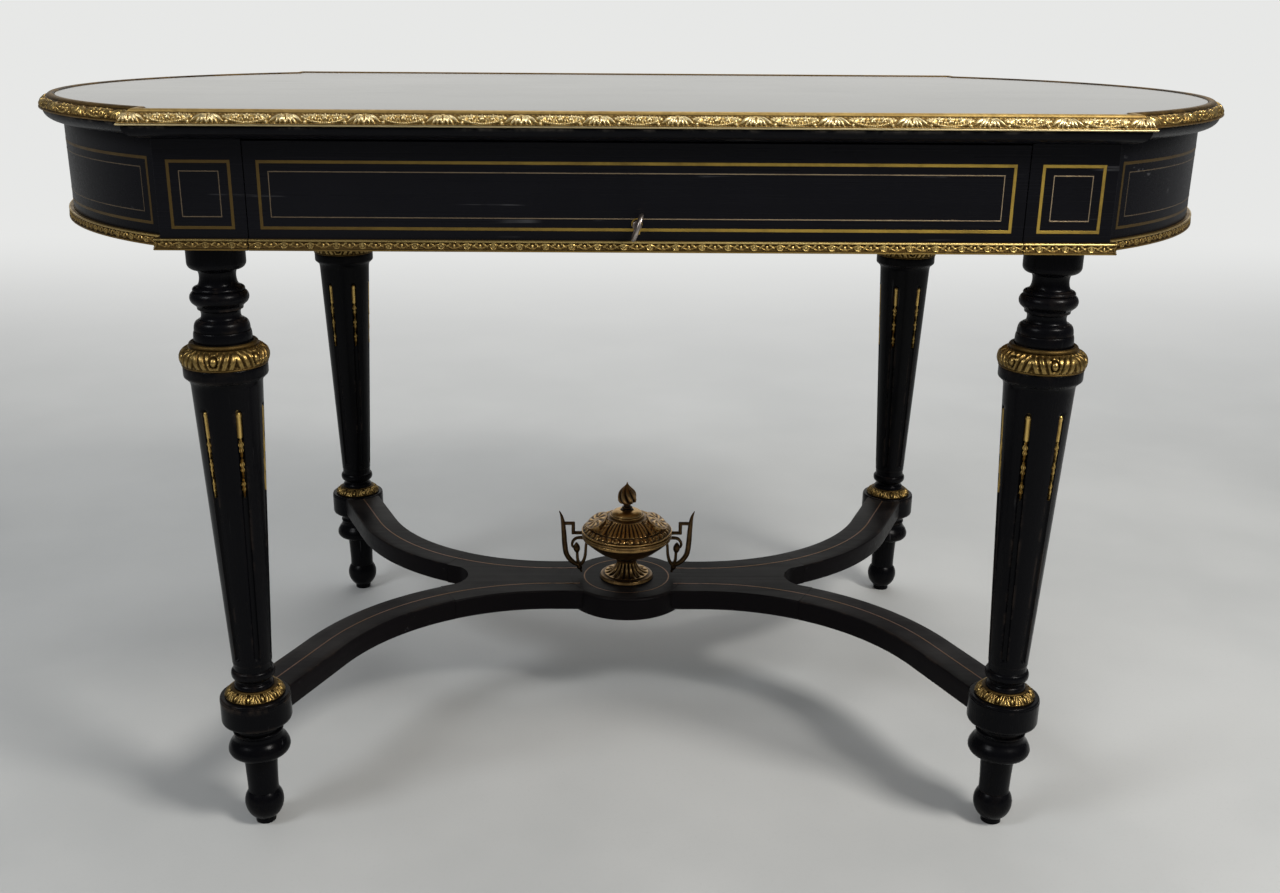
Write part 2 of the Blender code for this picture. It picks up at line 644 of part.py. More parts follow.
def make_drawer():
    """Drawer front, sides, back and bottom, with the keyhole and the lock's notch."""
    top = FRIEZE_TOP - DRAWER_TOP_GAP
    item = box("drawer_front", (-DRAWER_HALF_WIDTH, DRAWER_FRONT_Y, FRIEZE_BOTTOM),
               (DRAWER_HALF_WIDTH, DRAWER_FRONT_BACK_Y, top))
    hole = rod("hole", (0, DRAWER_FRONT_Y - LOCK_DEPTH, KEY_HEIGHT),
               (0, DRAWER_FRONT_BACK_Y + LOCK_DEPTH, KEY_HEIGHT),
               KEY_SHANK_RADIUS + KEYHOLE_PLAY, LEG_STEPS, CUTTERS)
    slot_half = KEY_BIT_THICKNESS / 2 + KEYHOLE_PLAY
    slot = box("slot", (-slot_half, DRAWER_FRONT_Y - LOCK_DEPTH,
                        KEY_HEIGHT - KEY_BIT_LENGTH - KEYHOLE_PLAY),
               (slot_half, DRAWER_FRONT_BACK_Y + LOCK_DEPTH, KEY_HEIGHT), CUTTERS)
    finished(cut(item, joined(hole, slot)), EBONY)
    floor_low = RAIL_TOP + CLEARANCE
    groove_low = DRAWER_BOTTOM_Z - CLEARANCE
    groove_high = DRAWER_BOTTOM_Z + DRAWER_BOTTOM_THICKNESS + CLEARANCE
    start = DRAWER_FRONT_BACK_Y + CLEARANCE
    for side, across in SIDES.items():
        outer = DRAWER_HALF_WIDTH
        deep = DRAWER_INNER_X + DRAWER_GROOVE_DEPTH
        section = [(outer, floor_low), (outer, top), (DRAWER_INNER_X, top),
                   (DRAWER_INNER_X, groove_high), (deep, groove_high), (deep, groove_low),
                   (DRAWER_INNER_X, groove_low), (DRAWER_INNER_X, floor_low)]
        rings = [[(across * x, y, z) for x, z in section] for y in (start, DRAWER_END_Y)]
        finished(loft("drawer_side_" + side, rings), OAK)
    half = DRAWER_INNER_X - CLEARANCE
    item = box("drawer_back", (-half, DRAWER_END_Y - DRAWER_BACK_THICKNESS, groove_high),
               (half, DRAWER_END_Y, top - DRAWER_BACK_DROP))
    finished(item, OAK)
    half = DRAWER_INNER_X + DRAWER_GROOVE_DEPTH - CLEARANCE
    notch = LOCK_WIDTH / 2 + CLEARANCE
    inner = LOCK_FACE_Y + LOCK_DEPTH + CLEARANCE
    outline = [(-half, start), (-notch, start), (-notch, inner), (notch, inner),
               (notch, start), (half, start), (half, DRAWER_END_Y), (-half, DRAWER_END_Y)]
    item = slab("drawer_bottom", outline, DRAWER_BOTTOM_Z,
                DRAWER_BOTTOM_Z + DRAWER_BOTTOM_THICKNESS)
    finished(item, OAK)


def make_lock():
    """Lock case with its pin, the bolt that drops into the front rail, and the key."""
    back = LOCK_FACE_Y + LOCK_DEPTH
    item = box("lock_case", (-LOCK_WIDTH / 2, LOCK_FACE_Y, LOCK_BOTTOM),
               (LOCK_WIDTH / 2, back, LOCK_BOTTOM + LOCK_HEIGHT))
    hollow = box("hollow", (-LOCK_WIDTH / 2 + LOCK_WALL, LOCK_FACE_Y - LOCK_WALL,
                            LOCK_BOTTOM + LOCK_WALL),
                 (LOCK_WIDTH / 2 - LOCK_WALL, back - LOCK_WALL,
                  LOCK_BOTTOM + LOCK_HEIGHT - LOCK_WALL), CUTTERS)
    item = cut(item, hollow)
    slot = box("slot", (-BOLT_WIDTH / 2 - BOLT_PLAY, BOLT_Y - BOLT_PLAY, LOCK_BOTTOM - LOCK_WALL),
               (BOLT_WIDTH / 2 + BOLT_PLAY, back - LOCK_WALL, LOCK_BOTTOM + 2 * LOCK_WALL), CUTTERS)
    item = cut(item, slot)
    pin = rod("pin", (0, BIT_Y - KEY_BORE_DEPTH / 2, KEY_HEIGHT), (0, back - LOCK_WALL / 2, KEY_HEIGHT),
              LOCK_PIN_RADIUS, 10, CUTTERS)
    finished(joined(item, pin), STEEL)
    low = LOCK_BOTTOM
    item = box("lock_bolt", (-BOLT_WIDTH / 2, BOLT_Y, low),
               (BOLT_WIDTH / 2, BOLT_Y + BOLT_THICKNESS, low + BOLT_LENGTH))
    gap = LOCK_PIN_RADIUS + BOLT_PLAY
    slot = box("slot", (-gap, BOLT_Y - BOLT_PLAY, KEY_HEIGHT - gap),
               (gap, BOLT_Y + BOLT_THICKNESS + BOLT_PLAY, KEY_HEIGHT + BOLT_TRAVEL + gap), CUTTERS)
    finished(cut(item, slot), STEEL)
    make_key()


def make_key():
    """A pipe key: hollow shank, collar, bit and an open oval bow."""
    inner = BIT_Y + KEY_BIT_WIDTH
    collar_y = DRAWER_FRONT_Y - KEY_REACH
    bow_y = collar_y - KEY_COLLAR_LENGTH - KEY_BOW_LENGTH / 2
    shank_end = bow_y + KEY_BOW_LENGTH / 2 - KEY_BOW_WIRE
    item = rod("key", (0, inner, 0), (0, shank_end, 0), KEY_SHANK_RADIUS, 12)
    bore = rod("bore", (0, inner + KEY_BORE_DEPTH, 0), (0, inner - KEY_BORE_DEPTH, 0),
               KEY_BORE_RADIUS, 10, CUTTERS)
    bit = box("bit", (-KEY_BIT_THICKNESS / 2, BIT_Y, -KEY_BIT_LENGTH),
              (KEY_BIT_THICKNESS / 2, inner, 0), CUTTERS)
    collar = rod("collar", (0, collar_y, 0), (0, collar_y - KEY_COLLAR_LENGTH, 0),
                 KEY_COLLAR_RADIUS, 12, CUTTERS)
    reach = KEY_BOW_LENGTH / 2 - KEY_BOW_WIRE
    rise = KEY_BOW_HEIGHT / 2 - KEY_BOW_WIRE
    loop = [(0.0, bow_y + reach * math.cos(turn), rise * math.sin(turn))
            for turn in arc(0.0, 2 * math.pi, KEY_BOW_POINTS)[:-1]]
    bow = wire("bow", loop, KEY_BOW_WIRE, True, CUTTERS)
    item = cut(joined(joined(joined(item, collar), bow), bit), bore)
    item.location = (0.0, 0.0, KEY_HEIGHT)
    item.rotation_euler = (0.0, KEY_TILT, 0.0)
    finished(item, STEEL)


def foot_outline():
    """The turned foot from the top of its block down to the pad on the floor."""
    socket = LEG_PIN_RADIUS + CLEARANCE
    high = math.acos(ANKLE_LOW_RADIUS / BALL_RADIUS)
    low = -math.acos(PAD_RADIUS / BALL_RADIUS)
    ball = [(BALL_RADIUS * math.cos(turn), BALL_Z + BALL_RADIUS * math.sin(turn))
            for turn in arc(high, low, 4)]
    hollow = FOOT_BLOCK_RADIUS - FOOT_BLOCK_ROUND
    lower_edge = [(hollow + FOOT_BLOCK_ROUND * math.cos(turn),
                   FOOT_BLOCK_Z + FOOT_BLOCK_ROUND * (1.0 - math.sin(turn)))
                  for turn in arc(0.0, math.pi / 2, 3)]
    return [(0.0, FOOT_TOP - LEG_PIN_LENGTH - CLEARANCE),
            (socket, FOOT_TOP - LEG_PIN_LENGTH - CLEARANCE), (socket, FOOT_TOP),
            (FOOT_BLOCK_RADIUS - FOOT_BLOCK_EDGE, FOOT_TOP),
            (FOOT_BLOCK_RADIUS, FOOT_TOP - FOOT_BLOCK_EDGE),
            *lower_edge, (FOOT_NECK_RADIUS, FOOT_BLOCK_Z),
            *bead(CUSHION_END_RADIUS, CUSHION_RADIUS, CUSHION_Z + CUSHION_LOW_HEIGHT,
                  CUSHION_HIGH_HEIGHT, CUSHION_LOW_HEIGHT),
            (ANKLE_HIGH_RADIUS, CUSHION_Z), *ball, (PAD_RADIUS, 0.0), (0.0, 0.0)]


def leg_outline():
    """The turned leg from its top tenon down to the pin that enters the foot."""
    swell = [(WAIST_RADIUS + (VASE_RADIUS - WAIST_RADIUS) * math.cos(turn),
              VASE_CREST + VASE_SHOULDER_HEIGHT * math.sin(turn)) for turn in arc(math.pi / 2, 0.0, 3)]
    return [(0.0, LEG_TOP + TENON_LENGTH), (TENON_RADIUS, LEG_TOP + TENON_LENGTH),
            (TENON_RADIUS, LEG_TOP), (CAP_RADIUS, LEG_TOP), (CAP_RADIUS, CAP_Z), (WAIST_RADIUS, CAP_Z),
            *bead(WAIST_RADIUS, RING_RADIUS, RING_Z + RING_HEIGHT / 2, RING_HEIGHT / 2, RING_HEIGHT / 2),
            *swell, (VASE_RADIUS, VASE_Z), (SHOULDER_RADIUS, VASE_Z), (SHOULDER_RADIUS, SHOULDER_Z),
            (SHAFT_HIGH_RADIUS, SHOULDER_Z - SHOULDER_COVE_HEIGHT / 2),
            (SHAFT_HIGH_RADIUS, SHAFT_TOP), (SHAFT_LOW_RADIUS, SHAFT_Z),
            *bead(SHAFT_LOW_RADIUS, BEAD_RADIUS, BEAD_Z + BEAD_HEIGHT / 2, BEAD_HEIGHT / 2,
                  BEAD_HEIGHT / 2)[1:-1],
            (COVE_RADIUS, BEAD_Z), (COVE_RADIUS, COVE_Z + COVE_HEIGHT / 2), (SEAT_RADIUS, COVE_Z),
            (SEAT_RADIUS, SEAT_Z), (LEG_PIN_RADIUS, SEAT_Z),
            (LEG_PIN_RADIUS, FOOT_TOP - LEG_PIN_LENGTH), (0.0, FOOT_TOP - LEG_PIN_LENGTH)]


def flute_cutter(turn):
    """A round-ended cutter along the taper of the shaft, at a turn about the leg."""
    radius = FLUTE_WIDTH / 2
    low = SHAFT_Z + FLUTE_BOTTOM_MARGIN + radius
    high = SHAFT_TOP - FLUTE_TOP_MARGIN - radius
    slope = (SHAFT_HIGH_RADIUS - SHAFT_LOW_RADIUS) / SHAFT_HEIGHT
    lift = radius - FLUTE_DEPTH
    ends = [(SHAFT_LOW_RADIUS + slope * (height - SHAFT_Z) + lift, height) for height in (low, high)]
    length = math.hypot(ends[1][0] - ends[0][0], high - low)
    outline = [(radius * math.sin(bend), length + radius * math.cos(bend))
               for bend in arc(0.0, math.pi / 2, 2)]
    outline += [(radius * math.cos(bend), -radius * math.sin(bend))
                for bend in arc(0.0, math.pi / 2, 2)]
    outline[0] = (0.0, length + radius)
    outline[-1] = (0.0, -radius)
    item = turned("flute", outline, FLUTE_SIDES, CUTTERS)
    lean = Matrix.Rotation(math.atan2(ends[1][0] - ends[0][0], high - low), 4, "Y")
    item.data.transform(Matrix.Rotation(turn, 4, "Z") @ Matrix.Translation((ends[0][0], 0, low)) @ lean)
    return item


def make_legs():
    """Four legs with flutes, their gilt collars and their feet."""
    leg = turned("leg", leg_outline(), LEG_STEPS, CUTTERS)
    for i in range(FLUTE_COUNT):
        leg = cut(leg, flute_cutter(math.radians(-90.0) + math.pi * (2 * i + 1) / FLUTE_COUNT))
    foot = turned("foot", foot_outline(), LEG_STEPS, CUTTERS)
    bore = VASE_RADIUS + CLEARANCE
    collar_z = VASE_Z + CLEARANCE
    lip = collar_z + UPPER_COLLAR_HEIGHT - UPPER_COLLAR_LIP_HEIGHT
    swell = [(UPPER_COLLAR_LIP_RADIUS + (UPPER_COLLAR_RADIUS - UPPER_COLLAR_LIP_RADIUS) * math.cos(turn),
              collar_z + UPPER_COLLAR_LIP_HEIGHT * 2
              + (lip - collar_z - UPPER_COLLAR_LIP_HEIGHT * 2) * math.sin(turn))
             for turn in arc(math.pi / 2, 0.0, 3)]
    upper = [(bore, lip + UPPER_COLLAR_LIP_HEIGHT),
             (UPPER_COLLAR_LIP_RADIUS, lip + UPPER_COLLAR_LIP_HEIGHT), *swell,
             (UPPER_COLLAR_LOW_RADIUS, collar_z), (bore, collar_z),
             (bore, lip + UPPER_COLLAR_LIP_HEIGHT)]
    hole = SEAT_RADIUS + CLEARANCE
    lower = [(hole, SEAT_Z + LOWER_COLLAR_HEIGHT), (LOWER_COLLAR_HIGH_RADIUS, SEAT_Z + LOWER_COLLAR_HEIGHT),
             (LOWER_COLLAR_LOW_RADIUS, SEAT_Z + LOWER_COLLAR_EDGE), (LOWER_COLLAR_LOW_RADIUS, SEAT_Z),
             (hole, SEAT_Z), (hole, SEAT_Z + LOWER_COLLAR_HEIGHT)]
    collars = {"upper": turned("upper", upper, LEG_STEPS, CUTTERS),
               "lower": turned("lower", lower, LEG_STEPS, CUTTERS)}
    for face, front in FACES.items():
        for side, across in SIDES.items():
            corner = face + "_" + side
            place = Vector((across * LEG_X, front * LEG_Y, 0.0))
            spin = 0.0 if front < 0 else math.pi
            for name, source, finish in (("leg_", leg, EBONY), ("upper_collar_", collars["upper"], GILT),
                                         ("lower_collar_", collars["lower"], GILT)):
                item = mesh_object(name + corner, source.data.copy())
                item.location = place
                item.rotation_euler.z = spin
                finished(item, finish)
            item = mesh_object("foot_" + corner, foot.data.copy())
            item.data.transform(Matrix.Translation(place))
            socket = arm_end(across, front, ARM_TENON_LENGTH + CLEARANCE)
            bore = rod("socket", *socket, ARM_TENON_RADIUS + CLEARANCE, 12, CUTTERS)
            finished(cut(item, bore), EBONY)
    for source in (leg, foot, *collars.values()):
        bpy.data.objects.remove(source, do_unlink=True)


def bend_point(angle, offset):
    """A point of the front right arm's bend, at an offset to its outer side."""
    radius = ARM_BEND_RADIUS - offset
    return (ARM_STRAIGHT_X + radius * math.sin(angle), ARM_CENTRE_Y + radius * math.cos(angle))


def arm_end(across, front, depth):
    """The line of an arm's tenon, from outside the foot block to a depth inside it."""
    near = Vector((*bend_point(ARM_BEND_ANGLE, 0.0), STRETCHER_MID))
    leg = Vector((LEG_X, -LEG_Y, STRETCHER_MID))
    way = (leg - near).normalized()
    start = leg - way * (FOOT_BLOCK_RADIUS * 2)
    end = leg - way * (FOOT_BLOCK_RADIUS - depth)
    return [Vector((across * p.x, -front * p.y, p.z)) for p in (start, end)]


def mirrored(points, across, front):
    """Plan points of the front right arm moved to another corner."""
    return [(across * x, -front * y) for x, y in points]


def make_stretcher():
    """A centre board with a round hub, and four curved arms spliced to its forks."""
    low = STRETCHER_TOP - STRETCHER_THICKNESS
    outer = [(ARM_STRAIGHT_X, -ARM_OFFSET_Y - ARM_HALF_WIDTH)]
    bends = arc(0.0, SPLICE_ANGLE, ARM_BEND_STEPS // 2)
    outer += [bend_point(turn, ARM_HALF_WIDTH) for turn in bends[1:]]
    inner = [bend_point(turn, -ARM_HALF_WIDTH) for turn in (SPLICE_ANGLE, NOTCH_ANGLE)]
    tip = inner[-1]
    notch_x = tip[0] - NOTCH_DEPTH
    radius = (tip[1] ** 2 + NOTCH_DEPTH ** 2) / (2 * NOTCH_DEPTH)
    swing = math.asin(-tip[1] / radius)
    notch = [(notch_x + radius - radius * math.cos(turn), radius * math.sin(turn))
             for turn in arc(-swing, 0.0, NOTCH_STEPS // 2)]
    quarter = outer + inner[:-1] + notch
    half = quarter + [(x, -y) for x, y in reversed(quarter[:-1])]
    outline = half + [(-x, -y) for x, y in half]
    item = slab("stretcher_centre", outline, low, STRETCHER_TOP)
    under = STRETCHER_TOP - HUB_THICKNESS
    edge = [(HUB_RADIUS - HUB_EDGE + HUB_EDGE * math.sin(turn), STRETCHER_TOP - HUB_EDGE
             + HUB_EDGE * math.cos(turn)) for turn in arc(0.0, math.pi / 2, 3)]
    hub = turned("hub", [(0.0, STRETCHER_TOP), *edge, (HUB_RADIUS, under), (0.0, under)], 32, CUTTERS)
    item = joined(item, hub)
    rod_hole = rod("rod_hole", (0, 0, under - HUB_EDGE), (0, 0, STRETCHER_TOP + HUB_EDGE),
                   ROD_RADIUS + CLEARANCE, 12, CUTTERS)
    item = cut(item, rod_hole)
    for face, front in FACES.items():
        for side, across in SIDES.items():
            pin = splice_pin(across, front, CLEARANCE)
            item = cut(item, rod("pin_hole", *pin, SPLICE_PIN_RADIUS + CLEARANCE, 12, CUTTERS))
    finished(item, EBONY)
    for face, front in FACES.items():
        for side, across in SIDES.items():
            make_arm("stretcher_arm_" + face + "_" + side, across, front, low)


def splice_pin(across, front, extra):
    """The line of the pin of an arm's splice, from inside the arm into the centre board."""
    spot = Vector(bend_point(SPLICE_ANGLE, 0.0))
    way = Vector((math.cos(SPLICE_ANGLE), -math.sin(SPLICE_ANGLE)))
    ends = (spot + way * SPLICE_PIN_LENGTH, spot - way * (SPLICE_PIN_LENGTH + extra))
    return [Vector((across * p.x, -front * p.y, STRETCHER_MID)) for p in ends]


def make_arm(name, across, front, low):
    """One curved arm: coped to the foot block, with a tenon at each end."""
    slip = CLEARANCE / ARM_BEND_RADIUS
    bends = arc(SPLICE_ANGLE + slip, ARM_BEND_ANGLE, ARM_BEND_STEPS)
    leg = Vector((LEG_X, -LEG_Y))
    near = Vector(bend_point(ARM_BEND_ANGLE, 0.0))
    way = (leg - near).normalized()
    side_way = Vector((way.y, -way.x))
    ends = [leg - side_way * -sign * ARM_HALF_WIDTH for sign in (-1.0, 1.0)]
    outer = [bend_point(turn, ARM_HALF_WIDTH) for turn in bends]
    inner = [bend_point(turn, -ARM_HALF_WIDTH) for turn in bends]
    ends.sort(key=lambda p: (p - Vector(outer[-1])).length)
    outline = outer + [tuple(ends[0]), tuple(ends[1])] + inner[::-1]
    item = slab(name, mirrored(outline, across, front), low, STRETCHER_TOP)
    cope = rod("cope", (across * LEG_X, front * LEG_Y, low - FOOT_BLOCK_HEIGHT),
               (across * LEG_X, front * LEG_Y, STRETCHER_TOP + FOOT_BLOCK_HEIGHT),
               FOOT_BLOCK_RADIUS + CLEARANCE, 48, CUTTERS)
    item = cut(item, cope)
    tenon = rod("tenon", *arm_end(across, front, ARM_TENON_LENGTH), ARM_TENON_RADIUS, 12, CUTTERS)
    item = joined(item, tenon)
    pin = rod("pin", *splice_pin(across, front, 0.0), SPLICE_PIN_RADIUS, 12, CUTTERS)
    finished(joined(item, pin), EBONY)


def bowl_outline(grow):
    """Outer side of the urn's bowl from rim to foot, grown outward by an amount."""
    belly = BOWL_HEIGHT - BOWL_RIM_HEIGHT
    points = [(BOWL_RADIUS + grow, BOWL_Z + BOWL_HEIGHT + grow), (BOWL_RADIUS + grow, BOWL_Z + belly)]
    for turn in arc(0.0, math.pi / 2, 5)[1:]:
        points.append((URN_NECK_RADIUS + (BOWL_RADIUS - URN_NECK_RADIUS) * math.cos(turn) + grow,
                       BOWL_Z + belly * (1 - math.sin(turn)) - grow))
    return points


def make_urn():
    """Foot, bowl and lid clamped by the finial's long rod, and two scrolled handles."""
    hole = ROD_RADIUS + CLEARANCE
    flare = [(URN_NECK_RADIUS + (URN_BASE_RADIUS - URN_NECK_RADIUS) * (1 - math.cos(turn)),
              URN_Z + URN_BASE_EDGE + (URN_FOOT_HEIGHT - URN_BASE_EDGE) * (1 - math.sin(turn)))
             for turn in arc(0.0, math.pi / 2, 4)]
    top = URN_Z + URN_FOOT_HEIGHT
    foot = [(hole, top), *flare, (URN_BASE_RADIUS, URN_Z), (hole, URN_Z), (hole, top)]
    finished(turned("urn_foot", foot, RING_STEPS), BRONZE)
    outside = bowl_outline(0.0)
    rim = BOWL_Z + BOWL_HEIGHT
    inside = [(radius - URN_WALL, height + URN_WALL) for radius, height in outside[1:]]
    floor = inside[-1][1]
    bowl = [(BOWL_RADIUS - URN_WALL, rim), *outside, (hole, BOWL_Z), (hole, floor),
            *reversed(inside), (BOWL_RADIUS - URN_WALL, rim)]
    finished(turned("urn_bowl", bowl, RING_STEPS), BRONZE)
    crown = LID_Z + LID_HEIGHT
    shoulder = LID_Z + LID_SHOULDER_HEIGHT
    lid = [(hole, crown), (LID_TOP_RADIUS / 2, crown), (LID_TOP_RADIUS, crown - LID_EDGE),
           (LID_SHOULDER_RADIUS / 2 + LID_TOP_RADIUS / 2, (crown + shoulder) / 2),
           (LID_SHOULDER_RADIUS, shoulder), (BOWL_RADIUS - URN_WALL / 2, LID_Z + LID_EDGE),
           (BOWL_RADIUS - URN_WALL / 2, LID_Z), (hole, LID_Z), (hole, crown)]
    finished(turned("urn_lid", lid, RING_STEPS), BRONZE)
    bulb = FINIAL_Z + FINIAL_NECK_HEIGHT
    flame = [(FINIAL_TIP_RADIUS + (FINIAL_RADIUS - FINIAL_TIP_RADIUS) * math.sin(math.pi * part ** 1.6),
              bulb + FINIAL_HEIGHT * (1 - part)) for part in (0.2, 0.4, 0.65, 0.85)]
    end = STRETCHER_TOP - HUB_THICKNESS
    finial = [(0.0, bulb + FINIAL_HEIGHT), (FINIAL_TIP_RADIUS, bulb + FINIAL_HEIGHT), *flame,
              (FINIAL_NECK_RADIUS, bulb), (FINIAL_NECK_RADIUS, FINIAL_Z), (ROD_RADIUS, FINIAL_Z),
              (ROD_RADIUS, end), (0.0, end)]
    finished(turned("urn_finial", finial, 12), BRONZE)
    for side, across in SIDES.items():
        make_handle("urn_handle_" + side, across)


def make_handle(name, across):
    """A handle: a tall post, a stepped bracket to the rim and a scroll under the bowl."""
    bend = (HANDLE_POST_X + HANDLE_FOOT_X) / 2
    post = [(HANDLE_TIP_X, HANDLE_TIP_RISE), ((HANDLE_TIP_X + HANDLE_POST_X) / 2, HANDLE_KEY_RISE),
            (HANDLE_POST_X, HANDLE_RIM_RISE), (HANDLE_POST_X, HANDLE_SCROLL_RISE),
            (HANDLE_POST_X - HANDLE_WIRE, HANDLE_ELBOW_RISE),
            (bend, (HANDLE_ELBOW_RISE + HANDLE_FOOT_RISE) / 2), (HANDLE_FOOT_X, HANDLE_FOOT_RISE)]
    bracket = [(HANDLE_POST_X, HANDLE_KEY_RISE), (HANDLE_KEY_X, HANDLE_KEY_RISE),
               (HANDLE_KEY_X, HANDLE_RIM_RISE), (BOWL_RADIUS - URN_WALL, HANDLE_RIM_RISE)]
    scroll = [(HANDLE_FOOT_X, HANDLE_FOOT_RISE),
              (HANDLE_FOOT_X - HANDLE_WIRE * 2, (HANDLE_FOOT_RISE + HANDLE_ELBOW_RISE) / 2),
              (HANDLE_FOOT_X - HANDLE_WIRE * 3, HANDLE_ELBOW_RISE),
              (HANDLE_FOOT_X - HANDLE_WIRE * 5, HANDLE_SCROLL_RISE)]
    pieces = [wire(name + str(i), [(across * x, 0.0, URN_Z + rise) for x, rise in line],
                   HANDLE_WIRE, False, CUTTERS) for i, line in enumerate((post, bracket, scroll))]
    item = joined(joined(pieces[0], pieces[1]), pieces[2])
    rim = bowl_outline(CLEARANCE)
    top = rim[0][1]
    body = turned("body", [(0.0, top), *rim, (0.0, rim[-1][1])], RING_STEPS, CUTTERS)
    item = cut(item, body)
    item.name = name
    CUTTERS.objects.unlink(item)
    PARTS.objects.link(item)
    item.hide_render = False
    item.display_type = "TEXTURED"
    finished(item, BRONZE)


def main():
    """Make every piece of the table."""
    make_top()
    make_frieze()
    make_base_mouldings()
    make_drawer()
    make_lock()
    make_legs()
    make_stretcher()
    make_urn()


main()
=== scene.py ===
"""Looks of an ebonised centre table: black lacquer, gilt-brass mounts and brass stringing.

Sizes are in metres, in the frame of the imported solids: +Z is up and the drawer side faces -Y.
Outlines are drawn in millimetres, by a pen whose origin is in metres.
"""

import logging
import math
from collections.abc import Callable
from dataclasses import dataclass, replace
from enum import Enum
from typing import NamedTuple

import bpy
import numpy as np
from mathutils import Matrix


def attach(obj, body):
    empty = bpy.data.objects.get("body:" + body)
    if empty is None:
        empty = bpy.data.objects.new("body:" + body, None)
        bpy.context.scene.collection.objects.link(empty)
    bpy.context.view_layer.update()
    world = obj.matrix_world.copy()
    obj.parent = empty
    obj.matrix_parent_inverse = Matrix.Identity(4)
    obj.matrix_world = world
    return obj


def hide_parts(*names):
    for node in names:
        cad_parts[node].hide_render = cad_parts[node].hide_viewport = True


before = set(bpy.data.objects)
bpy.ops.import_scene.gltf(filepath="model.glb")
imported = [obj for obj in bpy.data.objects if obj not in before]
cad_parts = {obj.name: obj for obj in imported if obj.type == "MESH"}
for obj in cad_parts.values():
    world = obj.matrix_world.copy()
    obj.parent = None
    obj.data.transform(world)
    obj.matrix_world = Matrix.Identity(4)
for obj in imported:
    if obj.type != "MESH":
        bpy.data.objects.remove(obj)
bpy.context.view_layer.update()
LOG = logging.getLogger("centre_table")
CLEARANCE = 0.0003
MM = 0.001
CIRCLE = 2 * math.pi
Array = np.ndarray
Colour = tuple[float, float, float]
Socket = bpy.types.NodeSocket
Material = bpy.types.Material
Tree = bpy.types.NodeTree
Node = bpy.types.Node
Outputs = bpy.types.NodeOutputs
Pair = tuple[float, float]
Places = tuple[Array, Array]
Path = Callable[[Array, Array], Places]


class Way(Enum):
    """A direction, whose value is the sign along its axis."""

    @property
    def word(self) -> str:
        """The word used in names."""
        return self.name.lower()


class Side(Way):
    """Left or right, as seen from the drawer side: the sign of X."""

    LEFT = -1.0
    RIGHT = 1.0


class Face(Way):
    """Front or back of the table: the sign of Y."""

    FRONT = -1.0
    BACK = 1.0


CORNERS = [(f"{face.word}_{side.word}", face, side) for face in Face for side in Side]


def unit(value: Array) -> Array:
    """A value held between 0 and 1."""
    return np.clip(value, 0.0, 1.0)


def eased(low: float, high: Array | float, value: Array) -> Array:
    """A smooth rise from 0 at low to 1 at high: 3t^2 - 2t^3 of the share t."""
    share = unit((value - low) / (high - low))
    return share * share * (3.0 - 2.0 * share)


def hump(value: Array, width: float) -> Array:
    """A bell of height 1: e to the minus square of the value over the width."""
    return np.exp(-(value / width) ** 2)


def shares(count: int) -> Array:
    """A column of even shares from 0 to 1."""
    return np.linspace(0.0, 1.0, count)[:, None]


def around(count: int) -> Array:
    """Even angles round a circle."""
    return np.linspace(0.0, CIRCLE, count, endpoint=False)


def xyz(x: Array | float, y: Array | float, z: Array | float) -> Array:
    """Points from coordinates that are spread to one shape."""
    return np.stack(np.broadcast_arrays(x, y, z), axis=-1)


def spun(ahead: Array, aside: Array, angle: Array | float) -> Places:
    """X and Y of a distance ahead in a direction and a distance to its left."""
    return ahead * np.cos(angle) - aside * np.sin(angle), ahead * np.sin(angle) + aside * np.cos(angle)


def smooth_path(knots: Array, count: int) -> Array:
    """A curve through knots.

    Args:
        knots: Points as rows.
        count: Points in each stretch.
    Returns:
        Points: each stretch is a cubic with the slope of its neighbours.
    """
    padded = np.concatenate([2 * knots[:1] - knots[1:2], knots, 2 * knots[-1:] - knots[-2:-1]])
    share = np.linspace(0.0, 1.0, count, endpoint=False)[None, :, None]
    before, start, end, after = (padded[i:len(padded) - 3 + i, None] for i in range(4))
    curve = 0.5 * (2 * start + (end - before) * share
                   + (2 * before - 5 * start + 4 * end - after) * share ** 2
                   + (3 * start - before - 3 * end + after) * share ** 3)
    return np.concatenate([curve.reshape(-1, knots.shape[1]), knots[-1:]])


